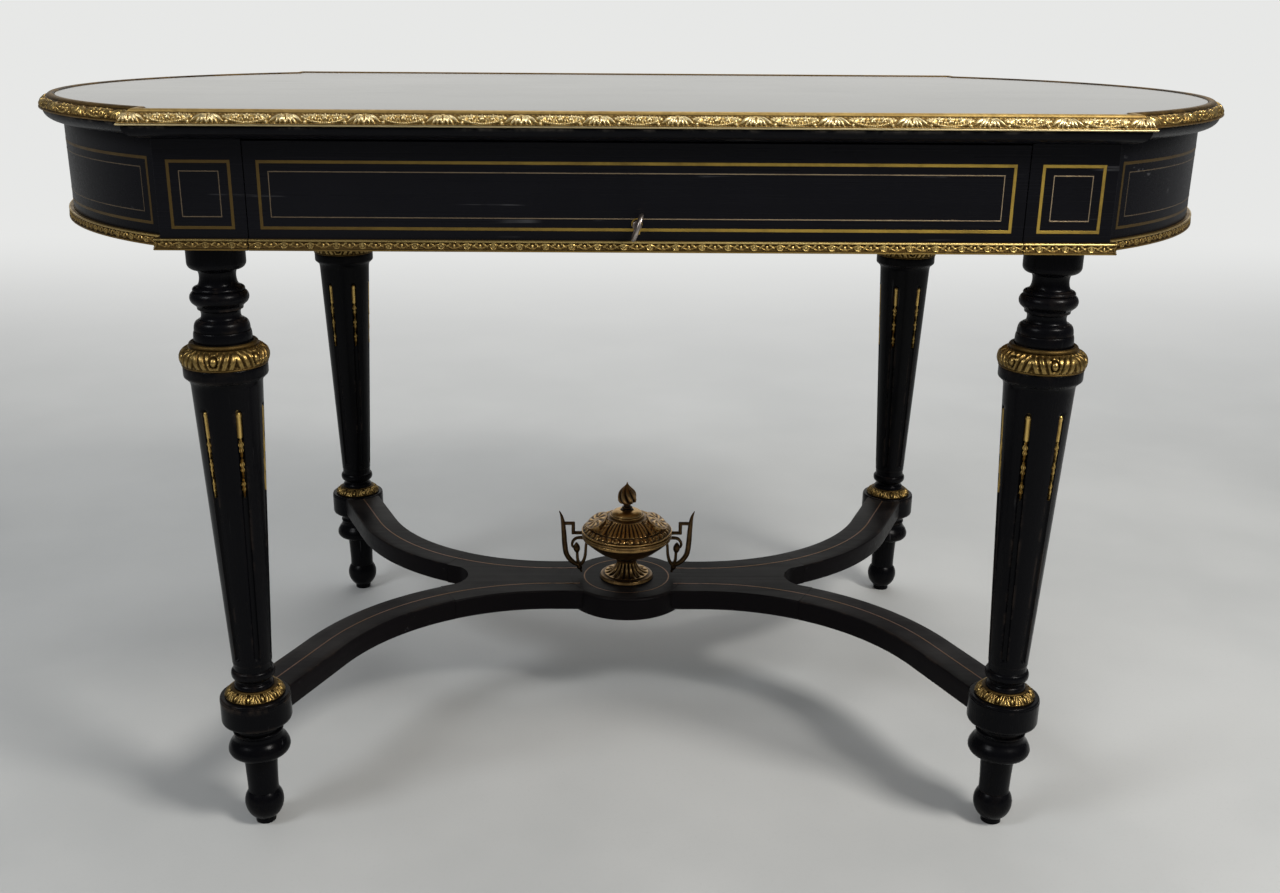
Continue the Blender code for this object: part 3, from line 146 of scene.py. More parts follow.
class Pen:
    """Draws parts of an outline in millimetres, from an origin in metres."""

    def __init__(self, x: float = 0.0, y: float = 0.0) -> None:
        """Keep the origin."""
        self.origin = np.array([x, y])

    def line(self, x: float, y: float, to_x: float, to_y: float, count: int = 2) -> Array:
        """Evenly spaced points of a straight part."""
        return self.origin + MM * np.linspace((x, y), (to_x, to_y), count)

    def bead(self, x: float, y: float, to_x: float, to_y: float, bulge: float, count: int) -> Array:
        """A half ellipse to the right of its way; a negative bulge makes a cove.

        Args:
            x, y, to_x, to_y: First and last point.
            bulge, count: Rise of the ellipse, and its points.
        Returns:
            The middle, less half the way times the turn's cosine, plus the bulge times its sine.
        """
        turn = np.linspace(0.0, math.pi, count)[:, None]
        first, last = np.array([x, y]), np.array([to_x, to_y])
        way = last - first
        right = np.array([way[1], -way[0]]) / np.hypot(*way)
        return self.origin + MM * ((first + last - way * np.cos(turn)) / 2 + right * bulge * np.sin(turn))

    def quarter(self, x: float, y: float, to_x: float, to_y: float, level: bool, count: int) -> Array:
        """A quarter ellipse.

        Args:
            x, y, to_x, to_y: First and last point.
            level: Whether it leaves along the first coordinate and arrives along the second.
            count: Its points.
        Returns:
            One coordinate goes with the turn's sine, the other with one less its cosine.
        """
        turn = np.linspace(0.0, math.pi / 2, count)
        fast, slow = np.sin(turn), 1.0 - np.cos(turn)
        share = np.stack([fast, slow] if level else [slow, fast], axis=1)
        return self.origin + MM * (np.array([x, y]) + np.array([to_x - x, to_y - y]) * share)

    def smooth(self, knots: list[Pair], count: int) -> Array:
        """A smooth curve through knots."""
        return self.origin + MM * smooth_path(np.array(knots), count)


def outline(*curves: Array) -> Array:
    """Join parts of an outline and drop points that repeat the one before."""
    points = np.concatenate(curves)
    moved = np.hypot(*np.diff(points, axis=0).T) > 2e-6
    return points[np.concatenate([[True], moved])]


def outward(profile: Array, ring: bool) -> Array:
    """Normals to the right of an outline's way.

    Args:
        profile, ring: Points as rows of two, and whether the last joins the first.
    Returns:
        Unit normals, half between the parts that meet.
    """
    if ring:
        way = np.roll(profile, -1, axis=0) - np.roll(profile, 1, axis=0)
    else:
        way = np.gradient(profile, axis=0)
    right = np.stack([way[:, 1], -way[:, 0]], axis=1)
    return right / np.maximum(np.hypot(*right.T), 1e-9)[:, None]


def worn_edges(profile: Array) -> Array:
    """How far each point of a turned outline stands out as an edge.

    Args:
        profile: Radius and height as rows of two, from the bottom up.
    Returns:
        The left turn at each point, as a share of 50 degrees up to 1, shared with its neighbours.
    """
    way = np.diff(profile, axis=0)
    heading = np.unwrap(np.arctan2(way[:, 1], way[:, 0]))
    turn = np.concatenate([[0.0], np.diff(heading), [0.0]])
    edge = unit(turn / math.radians(50.0))
    return np.maximum(edge, 0.5 * np.maximum(np.roll(edge, 1), np.roll(edge, -1)))


@dataclass
class Sheet:
    """A grid of points whose columns join round."""

    points: Array  # rows by columns by three
    relief: Array | float  # 0 in a hollow and 1 on a crest or worn edge
    ring: bool = False  # whether the last row joins the first too

    def __post_init__(self) -> None:
        """Give every point a relief value of its own."""
        self.relief = np.array(np.broadcast_to(self.relief, self.points.shape[:2]), float)

    def capped(self) -> "Sheet":
        """The sheet with its first and last row drawn in to their middles."""
        ends = [self.points[i].mean(axis=0) + 0.0 * self.points[i] for i in (0, -1)]
        points = np.concatenate([ends[0][None], self.points, ends[1][None]])
        return Sheet(points, np.concatenate([self.relief[:1], self.relief, self.relief[-1:]]))

    def moved(self, x: float, y: float) -> "Sheet":
        """The sheet at another place."""
        return Sheet(self.points + np.array([x, y, 0.0]), self.relief, self.ring)

    def flipped(self, x: float, y: float) -> "Sheet":
        """The sheet mirrored by the signs of its X and Y."""
        return Sheet(self.points * np.array([x, y, 1.0]), self.relief, self.ring)

    def quads(self) -> Array:
        """Corner numbers of the grid's faces, turned so that the closed sheet faces outward."""
        rows, columns = self.points.shape[:2]
        row = np.arange(rows if self.ring else rows - 1)[:, None]
        column = np.arange(columns)[None, :]
        above, beside = (row + 1) % rows, (column + 1) % columns
        corners = [row * columns + column, row * columns + beside,
                   above * columns + beside, above * columns + column]
        quads = np.stack(corners, axis=-1).reshape(-1, 4)
        place = self.points.reshape(-1, 3) - self.points.reshape(-1, 3).mean(axis=0)
        a, b, c, d = (place[quads[:, i]] for i in range(4))
        volume = np.sum(a * (np.cross(b, c) + np.cross(c, d)))
        return quads if volume > 0 else quads[:, ::-1]


def turned(profile: Array, columns: int, sunk: Array | float = 0.0, ring: bool = False) -> Sheet:
    """A turning about the Z axis.

    Args:
        profile, ring: Radius and height from the bottom up, and whether the outline closes on itself.
        columns: Points round the circle.
        sunk: How far each point is moved along the outline's normal.
    Returns:
        The sheet: each outline point goes round a circle. Its relief is the worn edges.
    """
    turn, normal = around(columns), outward(profile, ring)
    radius = profile[:, 0, None] + normal[:, 0, None] * sunk
    height = profile[:, 1, None] + normal[:, 1, None] * sunk
    points = xyz(radius * np.cos(turn), radius * np.sin(turn), height)
    sheet = Sheet(points, worn_edges(profile)[:, None], ring)
    return sheet if ring else sheet.capped()


class Run(NamedTuple):
    """Part of a turned outline, with its relief value and the height of its ornament from 0 to 1."""

    outline: Array
    tone: Array | float
    height: Array | float = 1.0


def chased(runs: list[Run], depth: float, columns: int, ring: bool = False) -> Sheet:
    """A turning with ornament on some runs of its outline.

    Args:
        runs, ring: The runs from the bottom up, and whether the outline closes on itself.
        depth: How deep the ornament cuts.
        columns: Points round the turning.
    Returns:
        The sheet, sunk along its normal where the ornament is low.
    """
    tone, height = (np.concatenate([np.broadcast_to(run[part], (len(run.outline), columns)) for run in runs])
                    for part in (1, 2))
    sheet = turned(np.concatenate([run.outline for run in runs]), columns, depth * (height - 1.0), ring)
    sheet.relief = tone.copy() if ring else np.concatenate([tone[:1], tone, tone[-1:]])
    return sheet


def welded(points: Array, relief: Array, quads: Array) -> tuple[Array, Array, Array, Array]:
    """Merge points that share a place, and make faces that lose a corner triangles.

    Args:
        points, relief: Points as rows of three, and their values.
        quads: Corner numbers as rows of four.
    Returns:
        Points, values, quads and triangles.
    """
    keys = np.round(points * 2e6).astype(np.int64)
    _, first, place = np.unique(keys, axis=0, return_index=True, return_inverse=True)
    quads = place.reshape(-1)[quads]
    same = quads == np.roll(quads, -1, axis=1)
    lost = same.sum(axis=1)
    thin = quads[lost == 1]
    pick = (same[lost == 1].argmax(axis=1)[:, None] + np.array([1, 2, 3])) % 4
    return points[first], relief[first], quads[lost == 0], np.take_along_axis(thin, pick, axis=1)


def linked(name: str, data: bpy.types.ID) -> bpy.types.Object:
    """A new object in the scene."""
    item = bpy.data.objects.new(name, data)
    bpy.context.scene.collection.objects.link(item)
    return item


@dataclass(frozen=True)
class Piece:
    """Where a new piece belongs."""

    name: str
    slot: str  # material slot of the record
    body: str = "table_frame"  # body that it rides on
    stands_for: tuple[str, ...] = ()  # solids that it stands for
    sharp: float = 40.0  # angle in degrees past which an edge is shaded sharp

    def made(self, sheets: list[Sheet], material: Material) -> None:
        """Put closed sheets into one mesh object and hang it on its body.

        Args:
            sheets, material: The sheets and their finish.
        """
        starts = np.cumsum([0] + [sheet.relief.size for sheet in sheets])
        points, relief, quads, triangles = welded(
            np.concatenate([sheet.points.reshape(-1, 3) for sheet in sheets]),
            np.concatenate([sheet.relief.reshape(-1) for sheet in sheets]),
            np.concatenate([sheet.quads() + start for sheet, start in zip(sheets, starts)]))
        mesh = bpy.data.meshes.new(self.name)
        corners = np.concatenate([quads.ravel(), triangles.ravel()]).astype(np.int32)
        firsts = np.concatenate([np.arange(len(quads)) * 4,
                                 quads.size + np.arange(len(triangles)) * 3]).astype(np.int32)
        mesh.vertices.add(len(points))
        mesh.vertices.foreach_set("co", points.astype(np.float32).ravel())
        mesh.loops.add(len(corners))
        mesh.loops.foreach_set("vertex_index", corners)
        mesh.polygons.add(len(firsts))
        mesh.polygons.foreach_set("loop_start", firsts)
        mesh.update(calc_edges=True)
        mesh.validate()
        mesh.attributes.new("relief", "FLOAT", "POINT").data.foreach_set("value", relief.astype(np.float32))
        mesh.shade_smooth()
        mesh.set_sharp_from_angle(angle=math.radians(self.sharp))
        mesh.materials.append(material)
        item = linked(self.name, mesh)
        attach(item, self.body)
        if self.stands_for:
            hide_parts(*self.stands_for)
        LOG.info("%s: %d faces", self.name, len(firsts))


def dressed(node: str, material: Material, edge: float) -> None:
    """Give a solid its finish, and ease its edges.

    Args:
        node, material: Name of the solid, and its finish.
        edge: Width of the eased edge.
    """
    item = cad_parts[node]
    item.data.materials.clear()
    item.data.materials.append(material)
    merge = item.modifiers.new("merge", "WELD")
    merge.merge_threshold = 0.00002
    ease = item.modifiers.new("ease", "BEVEL")
    ease.width, ease.segments, ease.limit_method = edge, 3, "ANGLE"
    ease.angle_limit = math.radians(40.0)
    ease.harden_normals = True
    LOG.info("%s: dressed", node)


class Shade:
    """Lays shader nodes into one tree."""

    def __init__(self, tree: Tree) -> None:
        """Keep the tree that the nodes go into."""
        self.tree = tree

    def feed(self, node: Node, inputs: dict[str | int, object]) -> Node:
        """Fill a node's inputs.

        Args:
            node, inputs: The node, and values or sockets by the input's name or number.
        Returns:
            The node.
        """
        for key, value in inputs.items():
            if isinstance(value, Socket):
                self.tree.links.new(value, node.inputs[key])
            else:
                node.inputs[key].default_value = value
        return node

    def node(self, kind: str, inputs: dict[str | int, object], **settings: object) -> Node:
        """Add a node.

        Args:
            kind, settings: Its type and properties.
            inputs: Values or sockets by the input's name or number.
        Returns:
            The node.
        """
        made = self.tree.nodes.new(kind)
        for name, value in settings.items():
            setattr(made, name, value)
        return self.feed(made, inputs)

    def place(self) -> Socket:
        """Object coordinates."""
        return self.node("ShaderNodeTexCoord", {}).outputs["Object"]

    def relief(self) -> Socket:
        """The relief value carried by the mesh."""
        return self.node("ShaderNodeAttribute", {}, attribute_name="relief").outputs["Fac"]

    def parts(self, vector: Socket) -> Outputs:
        """The X, Y and Z of a vector."""
        return self.node("ShaderNodeSeparateXYZ", {0: vector}).outputs

    def calc(self, kind: str, first: Socket | float, second: Socket | float = 0.0) -> Socket:
        """A sum, product, power or the like of two values."""
        return self.node("ShaderNodeMath", {0: first, 1: second}, operation=kind).outputs[0]

    def times(self, first: Socket, second: Socket | float) -> Socket:
        """A product."""
        return self.calc("MULTIPLY", first, second)

    def stretched(self, vector: Socket, scale: Socket | Colour) -> Socket:
        """Coordinates multiplied by a scale along each axis."""
        return self.node("ShaderNodeVectorMath", {0: vector, 1: scale}, operation="MULTIPLY").outputs[0]

    def noise(self, vector: Socket, scale: float, detail: float = 3.0, rough: float = 0.5) -> Socket:
        """Cloudy values between 0 and 1."""
        inputs = {"Vector": vector, "Scale": scale, "Detail": detail, "Roughness": rough}
        return self.node("ShaderNodeTexNoise", inputs).outputs[0]

    def span(self, value: Socket, low: float, high: float, start: float = 0.0, end: float = 1.0) -> Socket:
        """A value between low and high mapped smoothly to start and end."""
        inputs = {0: value, 1: low, 2: high, 3: start, 4: end}
        return self.node("ShaderNodeMapRange", inputs, interpolation_type="SMOOTHSTEP").outputs[0]

    def mixed(self, share: Socket | float, first: Socket | Colour, second: Socket | Colour) -> Socket:
        """A colour between two colours."""
        first, second = ((*c, 1.0) if isinstance(c, tuple) else c for c in (first, second))
        return self.node("ShaderNodeMix", {0: share, 6: first, 7: second}, data_type="RGBA").outputs[2]

    def bump(self, height: Socket, strength: float, distance: float) -> Socket:
        """A normal bent by a height."""
        inputs = {"Height": height, "Strength": strength, "Distance": distance}
        return self.node("ShaderNodeBump", inputs).outputs[0]

    def effect(self, group: Tree, **inputs: object) -> Outputs:
        """Place a shared effect."""
        return self.node("ShaderNodeGroup", inputs, node_tree=group).outputs


def new_effect(name: str, vectors: list[str], values: list[str], outputs: list[str],
               lay: Callable[[Shade, Outputs], list[Socket]]) -> Tree:
    """Make a node group for an effect that several finishes share.

    Args:
        name: Name of the effect.
        vectors, values: Names of its inputs of either kind.
        outputs: Names of the values that it puts out.
        lay: Lays its nodes.
    Returns:
        The group.
    """
    group = bpy.data.node_groups.new(name, "ShaderNodeTree")
    for names, way, kind in ((vectors, "INPUT", "Vector"), (values, "INPUT", "Float"),
                             (outputs, "OUTPUT", "Float")):
        for socket in names:
            group.interface.new_socket(socket, in_out=way, socket_type="NodeSocket" + kind)
    start, end = group.nodes.new("NodeGroupInput"), group.nodes.new("NodeGroupOutput")
    Shade(group).feed(end, dict(enumerate(lay(Shade(group), start.outputs))))
    return group


def lay_polish_marks(shade: Shade, given: Outputs) -> list[Socket]:
    """Slow clouds, fine streaks along the polish, and sparse scuffs.

    Args:
        shade, given: Where the nodes go, and the inputs Vector, and Streak, the scale along each axis.
    Returns:
        Cloud, streak and scuff values.
    """
    along = shade.stretched(given["Vector"], given["Streak"])
    short = shade.noise(shade.stretched(along, (2.6, 0.8, 0.8)), 1.0, 2.0)
    patch = shade.span(shade.noise(given["Vector"], 17.0, 2.0), 0.56, 0.68)
    scuff = shade.times(shade.span(short, 0.66, 0.74), patch)
    return [shade.noise(given["Vector"], 6.0, 4.0, 0.55), shade.noise(along, 1.0, 4.0, 0.6), scuff]


def lay_edge_wear(shade: Shade, given: Outputs) -> list[Socket]:
    """Broken wear along edges: the edge value, eaten away by two sizes of cloud.

    Args:
        shade, given: Where the nodes go, and the inputs Vector, Edge and Amount.
    Returns:
        The mask.
    """
    broken = shade.calc("ADD", shade.noise(given["Vector"], 45.0, 4.0, 0.65),
                        shade.times(shade.noise(given["Vector"], 9.0, 2.0), 0.6))
    keen = shade.times(given["Edge"], shade.span(broken, 0.78, 1.0))
    return [shade.times(keen, given["Amount"])]


def lay_dust(shade: Shade, given: Outputs) -> list[Socket]:
    """Pale dust where a surface looks up, in soft patches.

    Args:
        shade, given: Where the nodes go, and the inputs Vector, Normal and Amount.
    Returns:
        The mask.
    """
    patch = shade.span(shade.noise(given["Vector"], 14.0, 5.0, 0.6), 0.35, 0.75)
    upward = shade.span(shade.parts(given["Normal"])[2], 0.3, 0.95)
    return [shade.times(shade.times(upward, patch), given["Amount"])]


def lay_tarnish(shade: Shade, given: Outputs) -> list[Socket]:
    """Old gilding: bright on crests, dark in hollows, with brown patches between.

    Args:
        shade, given: Where the nodes go, and the inputs Vector and Relief.
    Returns:
        How bright the metal is, and how brown.
    """
    grime = shade.times(shade.noise(given["Vector"], 160.0, 3.0, 0.6), 0.34)
    lit = shade.calc("ADD", given["Relief"], shade.calc("SUBTRACT", grime, 0.17))
    return [lit, shade.span(shade.noise(given["Vector"], 21.0, 4.0, 0.6), 0.38, 0.66)]


POLISH_MARKS = new_effect(
    "polish_marks", ["Vector", "Streak"], [], ["Cloud", "Streak", "Scuff"], lay_polish_marks)
EDGE_WEAR = new_effect("edge_wear", ["Vector"], ["Edge", "Amount"], ["Mask"], lay_edge_wear)
DUST = new_effect("dust", ["Vector", "Normal"], ["Amount"], ["Mask"], lay_dust)
TARNISH = new_effect("tarnish", ["Vector"], ["Relief"], ["Lit", "Brown"], lay_tarnish)


def blank(name: str) -> tuple[Material, Shade, Node]:
    """A new material, its tree and its shader node."""
    material = bpy.data.materials.new(name)
    material.use_nodes = True
    return material, Shade(material.node_tree), material.node_tree.nodes["Principled BSDF"]


@dataclass(frozen=True)
class Lacquer:
    """Black polish over stained wood, worn brown on its edges."""

    name: str
    streak: Colour = (2.0, 240.0, 240.0)  # scale of the polishing streaks along each axis
    gloss: float = 0.20  # roughness where it is best kept
    dull: float = 0.34  # roughness where it is most worn
    tint: Colour = (0.0026, 0.0026, 0.0036)
    bare: Colour = (0.034, 0.024, 0.018)  # a worn edge
    wear: float = 0.8  # how much of the edges is worn
    dust: float = 0.03
    specular: float = 0.13  # strength of the mirror at right angles
    ripple: float = 0.00006  # depth of the polish's unevenness
    scuff: Colour = (0.34, 0.34, 0.35)
    dust_tint: Colour = (0.30, 0.28, 0.26)

    def material(self) -> Material:
        """Lay the finish: cloudy roughness, streaks, scuffs, edge wear and dust."""
        material, shade, shader = blank(self.name)
        place = shade.place()
        normal = shade.node("ShaderNodeNewGeometry", {}).outputs["Normal"]
        marks = shade.effect(POLISH_MARKS, Vector=place, Streak=self.streak)
        wear = shade.effect(EDGE_WEAR, Vector=place, Edge=shade.relief(), Amount=self.wear)["Mask"]
        dust = shade.effect(DUST, Vector=place, Normal=normal, Amount=self.dust)["Mask"]
        deep = shade.mixed(marks["Cloud"], self.tint, tuple(1.9 * c for c in self.tint))
        worn = shade.mixed(wear, deep, self.bare)
        scuffed = shade.mixed(shade.times(marks["Scuff"], 0.10), worn, self.scuff)
        cloudy = shade.calc("ADD", shade.times(marks["Streak"], 0.45), shade.times(marks["Cloud"], 0.55))
        rough = shade.span(cloudy, 0.30, 0.70, self.gloss, self.dull)
        shade.feed(shader, {"Base Color": shade.mixed(dust, scuffed, self.dust_tint),
                            "Roughness": shade.calc("ADD", rough, shade.times(wear, 0.25)),
                            "Normal": shade.bump(marks["Streak"], 0.5, self.ripple),
                            "Specular IOR Level": self.specular})
        return material


@dataclass(frozen=True)
class Gilding:
    """Cast metal with old gilding, or plain metal with the same patina."""

    name: str
    crest: Colour = (0.76, 0.63, 0.35)
    middle: Colour = (0.45, 0.31, 0.105)
    hollow: Colour = (0.085, 0.050, 0.015)
    brown: Colour = (0.22, 0.13, 0.040)
    patchy: float = 0.55  # strength of the brown patches
    smooth: float = 0.37  # roughness on the crests
    rough: float = 0.57  # roughness in the hollows
    grain: float = 0.00008  # depth of the metal's fine grain
    fade: float = 0.0  # strength of the painted shade: duller and browner towards the left, away from the light, and on the round ends

    def material(self) -> Material:
        """Lay the finish: three tones by relief, brown patches, a fine grain, and painted shade towards the
        left and on the round ends.
        """
        material, shade, shader = blank(self.name)
        place = shade.place()
        old = shade.effect(TARNISH, Vector=place, Relief=shade.relief())
        low = shade.mixed(shade.span(old["Lit"], 0.10, 0.48), self.hollow, self.middle)
        patch = shade.times(old["Brown"], self.patchy)
        tone = shade.mixed(patch, low, shade.mixed(0.6, low, self.brown))
        high = shade.mixed(shade.span(old["Lit"], 0.52, 0.98), tone, self.crest)
        rough = shade.span(old["Lit"], 0.15, 0.9, self.rough, self.smooth)
        # The mix towards brown here is painted shade, to the left and on the round ends.
        shade.feed(shader, {"Base Color": shade.mixed(self.painted_side_shade(shade, place), high, self.brown),
                            "Roughness": shade.calc("ADD", rough, shade.times(patch, 0.10)),
                            "Normal": shade.bump(shade.noise(place, 900.0, 2.0), 0.35, self.grain),
                            "Metallic": 1.0})
        return material

    def painted_side_shade(self, shade: Shade, place: Socket) -> Socket:
        """Painted shade: how far the metal is darkened to brown by its place along the table.

        Args:
            shade, place: Where the nodes go, and object coordinates.
        Returns:
            The mask: a slow rise to the left, full on the round ends, times the fade.
        """
        along = shade.parts(place)[0]
        ends = shade.span(shade.calc("ABSOLUTE", along), 0.422, 0.428)
        return shade.times(shade.calc("MAXIMUM", shade.span(along, 0.30, -0.42), ends), self.fade)


@dataclass(frozen=True)
class PlainWood:
    """Plain planed wood of the inside."""

    name: str
    grain: Colour = (90.0, 4.0, 90.0)  # scale of the grain along each axis
    pale: Colour = (0.36, 0.225, 0.115)
    dark: Colour = (0.17, 0.095, 0.045)
    pore: Colour = (0.06, 0.035, 0.018)

    def material(self) -> Material:
        """Lay the finish: streaked grain with pores, and a soft cloud over it."""
        material, shade, shader = blank(self.name)
        place = shade.place()
        marks = shade.effect(POLISH_MARKS, Vector=place, Streak=self.grain)
        pores = shade.noise(shade.stretched(place, tuple(3.5 * c for c in self.grain)), 1.0, 2.0)
        share = shade.calc("ADD", shade.times(marks["Streak"], 0.75), shade.times(marks["Cloud"], 0.25))
        wood = shade.mixed(shade.span(share, 0.34, 0.66), self.dark, self.pale)
        pored = shade.mixed(shade.span(pores, 0.60, 0.72, 0.0, 0.5), wood, self.pore)
        shade.feed(shader, {"Base Color": pored,
                            "Roughness": shade.span(pores, 0.2, 0.8, 0.48, 0.68),
                            "Normal": shade.bump(pores, 0.4, 0.0002)})
        return material


LACQUER = Lacquer("ebonised_frieze").material()
LACQUER_END = Lacquer("ebonised_ends", specular=0.075).material()
LACQUER_OVOLO = Lacquer("ebonised_ovolo", specular=0.075, bare=(0.085, 0.075, 0.065)).material()
LACQUER_TURNED = Lacquer("ebonised_turning", streak=(150.0, 150.0, 9.0), gloss=0.20, dull=0.32,
    tint=(0.0014, 0.0014, 0.0019), specular=0.07, dust=0.004).material()
LACQUER_TOP = Lacquer("ebonised_top", streak=(1.2, 160.0, 1.0), gloss=0.06, dull=0.11, wear=0.5,
    specular=0.28, ripple=0.000012, dust=0.012).material()
LACQUER_STRETCHER = Lacquer("ebonised_stretcher", streak=(3.0, 160.0, 160.0), gloss=0.34, dull=0.50,
    tint=(0.0026, 0.0020, 0.0024), specular=0.055, dust=0.043).material()
# Fade below is painted shade: duller to the left, away from the light, and on the round ends.
GILT = Gilding("gilt_brass_front", fade=0.22).material()
# The round ends' gilt is a darker, browner copy: painted shade where the ends turn from the light.
GILT_END_SHADED = Gilding("gilt_brass_ends", crest=(0.76, 0.54, 0.19), middle=(0.27, 0.165, 0.048),
    hollow=(0.034, 0.020, 0.007), patchy=0.9, rough=0.5, smooth=0.3).material()
GILT_BASE = Gilding("gilt_brass_base", crest=(0.92, 0.70, 0.27), middle=(0.44, 0.285, 0.083), patchy=0.8,
    brown=(0.125, 0.079, 0.028), rough=0.55, smooth=0.36, fade=0.70).material()
GILT_COLLAR = Gilding("gilt_brass_collars", crest=(0.43, 0.295, 0.10), middle=(0.122, 0.076, 0.024),
    hollow=(0.016, 0.010, 0.004), brown=(0.09, 0.055, 0.018), patchy=0.8, smooth=0.30).material()
GILT_HUSK = Gilding("gilt_brass_husks", crest=(0.70, 0.48, 0.15), middle=(0.29, 0.182, 0.055),
    hollow=(0.018, 0.011, 0.005), brown=(0.07, 0.042, 0.015), patchy=1.0, smooth=0.3).material()
STRINGING = Gilding("brass_stringing", crest=(0.92, 0.65, 0.14), middle=(0.78, 0.52, 0.105),
    brown=(0.105, 0.066, 0.030), patchy=1.0, smooth=0.34, rough=0.46, fade=0.9).material()
STRINGING_FINE = Gilding("brass_stringing_fine", crest=(0.76, 0.60, 0.39), middle=(0.64, 0.49, 0.31),
    brown=(0.13, 0.095, 0.065), patchy=1.0, smooth=0.38, rough=0.5, fade=0.75).material()
COPPER_LINE = Gilding("stretcher_line", crest=(0.32, 0.185, 0.125), middle=(0.19, 0.11, 0.078),
    hollow=(0.08, 0.045, 0.03), patchy=0.9, smooth=0.42, rough=0.6).material()
BRONZE = Gilding("dark_gilt_bronze", crest=(0.62, 0.385, 0.140), middle=(0.135, 0.078, 0.033),
    hollow=(0.009, 0.006, 0.004), brown=(0.034, 0.021, 0.010), patchy=0.9, smooth=0.24,
    rough=0.46).material()
BRONZE_DARK = Gilding("darkest_gilt_bronze", crest=(0.31, 0.185, 0.075), middle=(0.07, 0.041, 0.019),
    hollow=(0.007, 0.005, 0.004), brown=(0.030, 0.018, 0.009), patchy=0.9, smooth=0.26,
    rough=0.48).material()
STEEL = Gilding("lock_steel", crest=(0.66, 0.64, 0.62), middle=(0.44, 0.42, 0.41),
    hollow=(0.16, 0.14, 0.13), brown=(0.22, 0.17, 0.13), patchy=0.4, smooth=0.24, rough=0.46).material()
WOOD_DEEP = PlainWood("drawer_wood_front_to_back").material()
WOOD_LONG = PlainWood("drawer_wood_side_to_side", grain=(4.0, 90.0, 90.0)).material()
STEEL_OLD = Gilding("key_steel", crest=(0.50, 0.45, 0.41), middle=(0.24, 0.20, 0.18),
    hollow=(0.07, 0.055, 0.05), brown=(0.14, 0.10, 0.075), patchy=0.7, smooth=0.28, rough=0.5).material()


@dataclass(frozen=True)
class Ornament:
    """One repeat of a cast ornament: heights from 0 to 1 over a flat band."""

    heights: Array  # across the band by along it
    pitch: float  # length of one repeat
    band: float  # width of the band

    def at(self, along: Array, across: Array) -> Array:
        """Heights at places on the band, between the nearest four grid points.

        Args:
            along, across: Distances along the moulding, and across the band from its foot.
        Returns:
            Heights, in the shape that the two make together.
        """
        rows, columns = self.heights.shape
        y = unit(across / self.band) * (rows - 1.001)
        x, y = np.broadcast_arrays(along / self.pitch % 1.0 * columns, y)
        left, low = np.floor(x).astype(int) % columns, np.floor(y).astype(int)
        right, high, u, v = (left + 1) % columns, low + 1, x % 1.0, y % 1.0
        grid = self.heights
        return ((1 - v) * ((1 - u) * grid[low, left] + u * grid[low, right])
                + v * ((1 - u) * grid[high, left] + u * grid[high, right]))


@dataclass(frozen=True)
class Chaser:
    """Cuts leaves and buds, with sizes in millimetres, into one repeat of an ornament."""

    pitch: float  # length of one repeat
    band: float  # width of the band
    x: Array  # distance along the repeat at each grid point, 0 in the middle
    y: Array  # distance across the band from its foot

    @classmethod
    def blank(cls, pitch: float, band: float, step: float) -> "Chaser":
        """A fresh grid over one repeat."""
        across = np.linspace(0.0, band, round(band / step))
        along = np.linspace(-pitch / 2, pitch / 2, round(pitch / step), endpoint=False)
        return cls(pitch, band, *np.meshgrid(along, across))

    def leaf(self, x: float, y: float, angle: float, length: float, width: float, curl: float = 0.0,
             swell: float = 0.75) -> Array:
        """A leaf from its root outward, with a groove along its rib when it is widest near the root.

        Args:
            x, y: Place of its root along and across the band.
            angle: Its direction in degrees from the band's length.
            length, width: Its length, and half its width at the widest.
            curl: Sideways bend of its tip, as a share of its length.
            swell: Below 1 it is widest near its root, above 1 near its tip.
        Returns:
            Heights: a half-round section under the sine of the way along it.
        """
        ahead, left = spun(self.x - x, self.y - y, -math.radians(angle))
        share = ahead / length
        side = left - curl * length * share ** 2
        inside = unit(share)
        half = width * np.sin(math.pi * inside ** swell) + 0.001
        body = np.sqrt(unit(1.0 - (side / half) ** 2))
        rib = 1.0 - 0.35 * hump(side / half, 0.22) * (swell < 1.0)
        return body * rib * (0.6 + 0.4 * np.sin(math.pi * inside)) * ((share > 0) & (share < 1))

    def bud(self, x: float, y: float, wide: float, high: float) -> Array:
        """A rounded boss: half an ellipsoid."""
        return np.sqrt(unit(1.0 - ((self.x - x) / wide) ** 2 - ((self.y - y) / high) ** 2))

    def ring(self, x: float, y: float, wide: float, high: float, thick: float) -> Array:
        """A raised oval line."""
        return hump(np.sqrt(((self.x - x) / wide) ** 2 + ((self.y - y) / high) ** 2) - 1.0, thick)

    def cast(self, shapes: list[Array]) -> Ornament:
        """The ornament that shows the highest of the shapes at each point."""
        return Ornament(unit(np.maximum.reduce(shapes)), MM * self.pitch, MM * self.band)


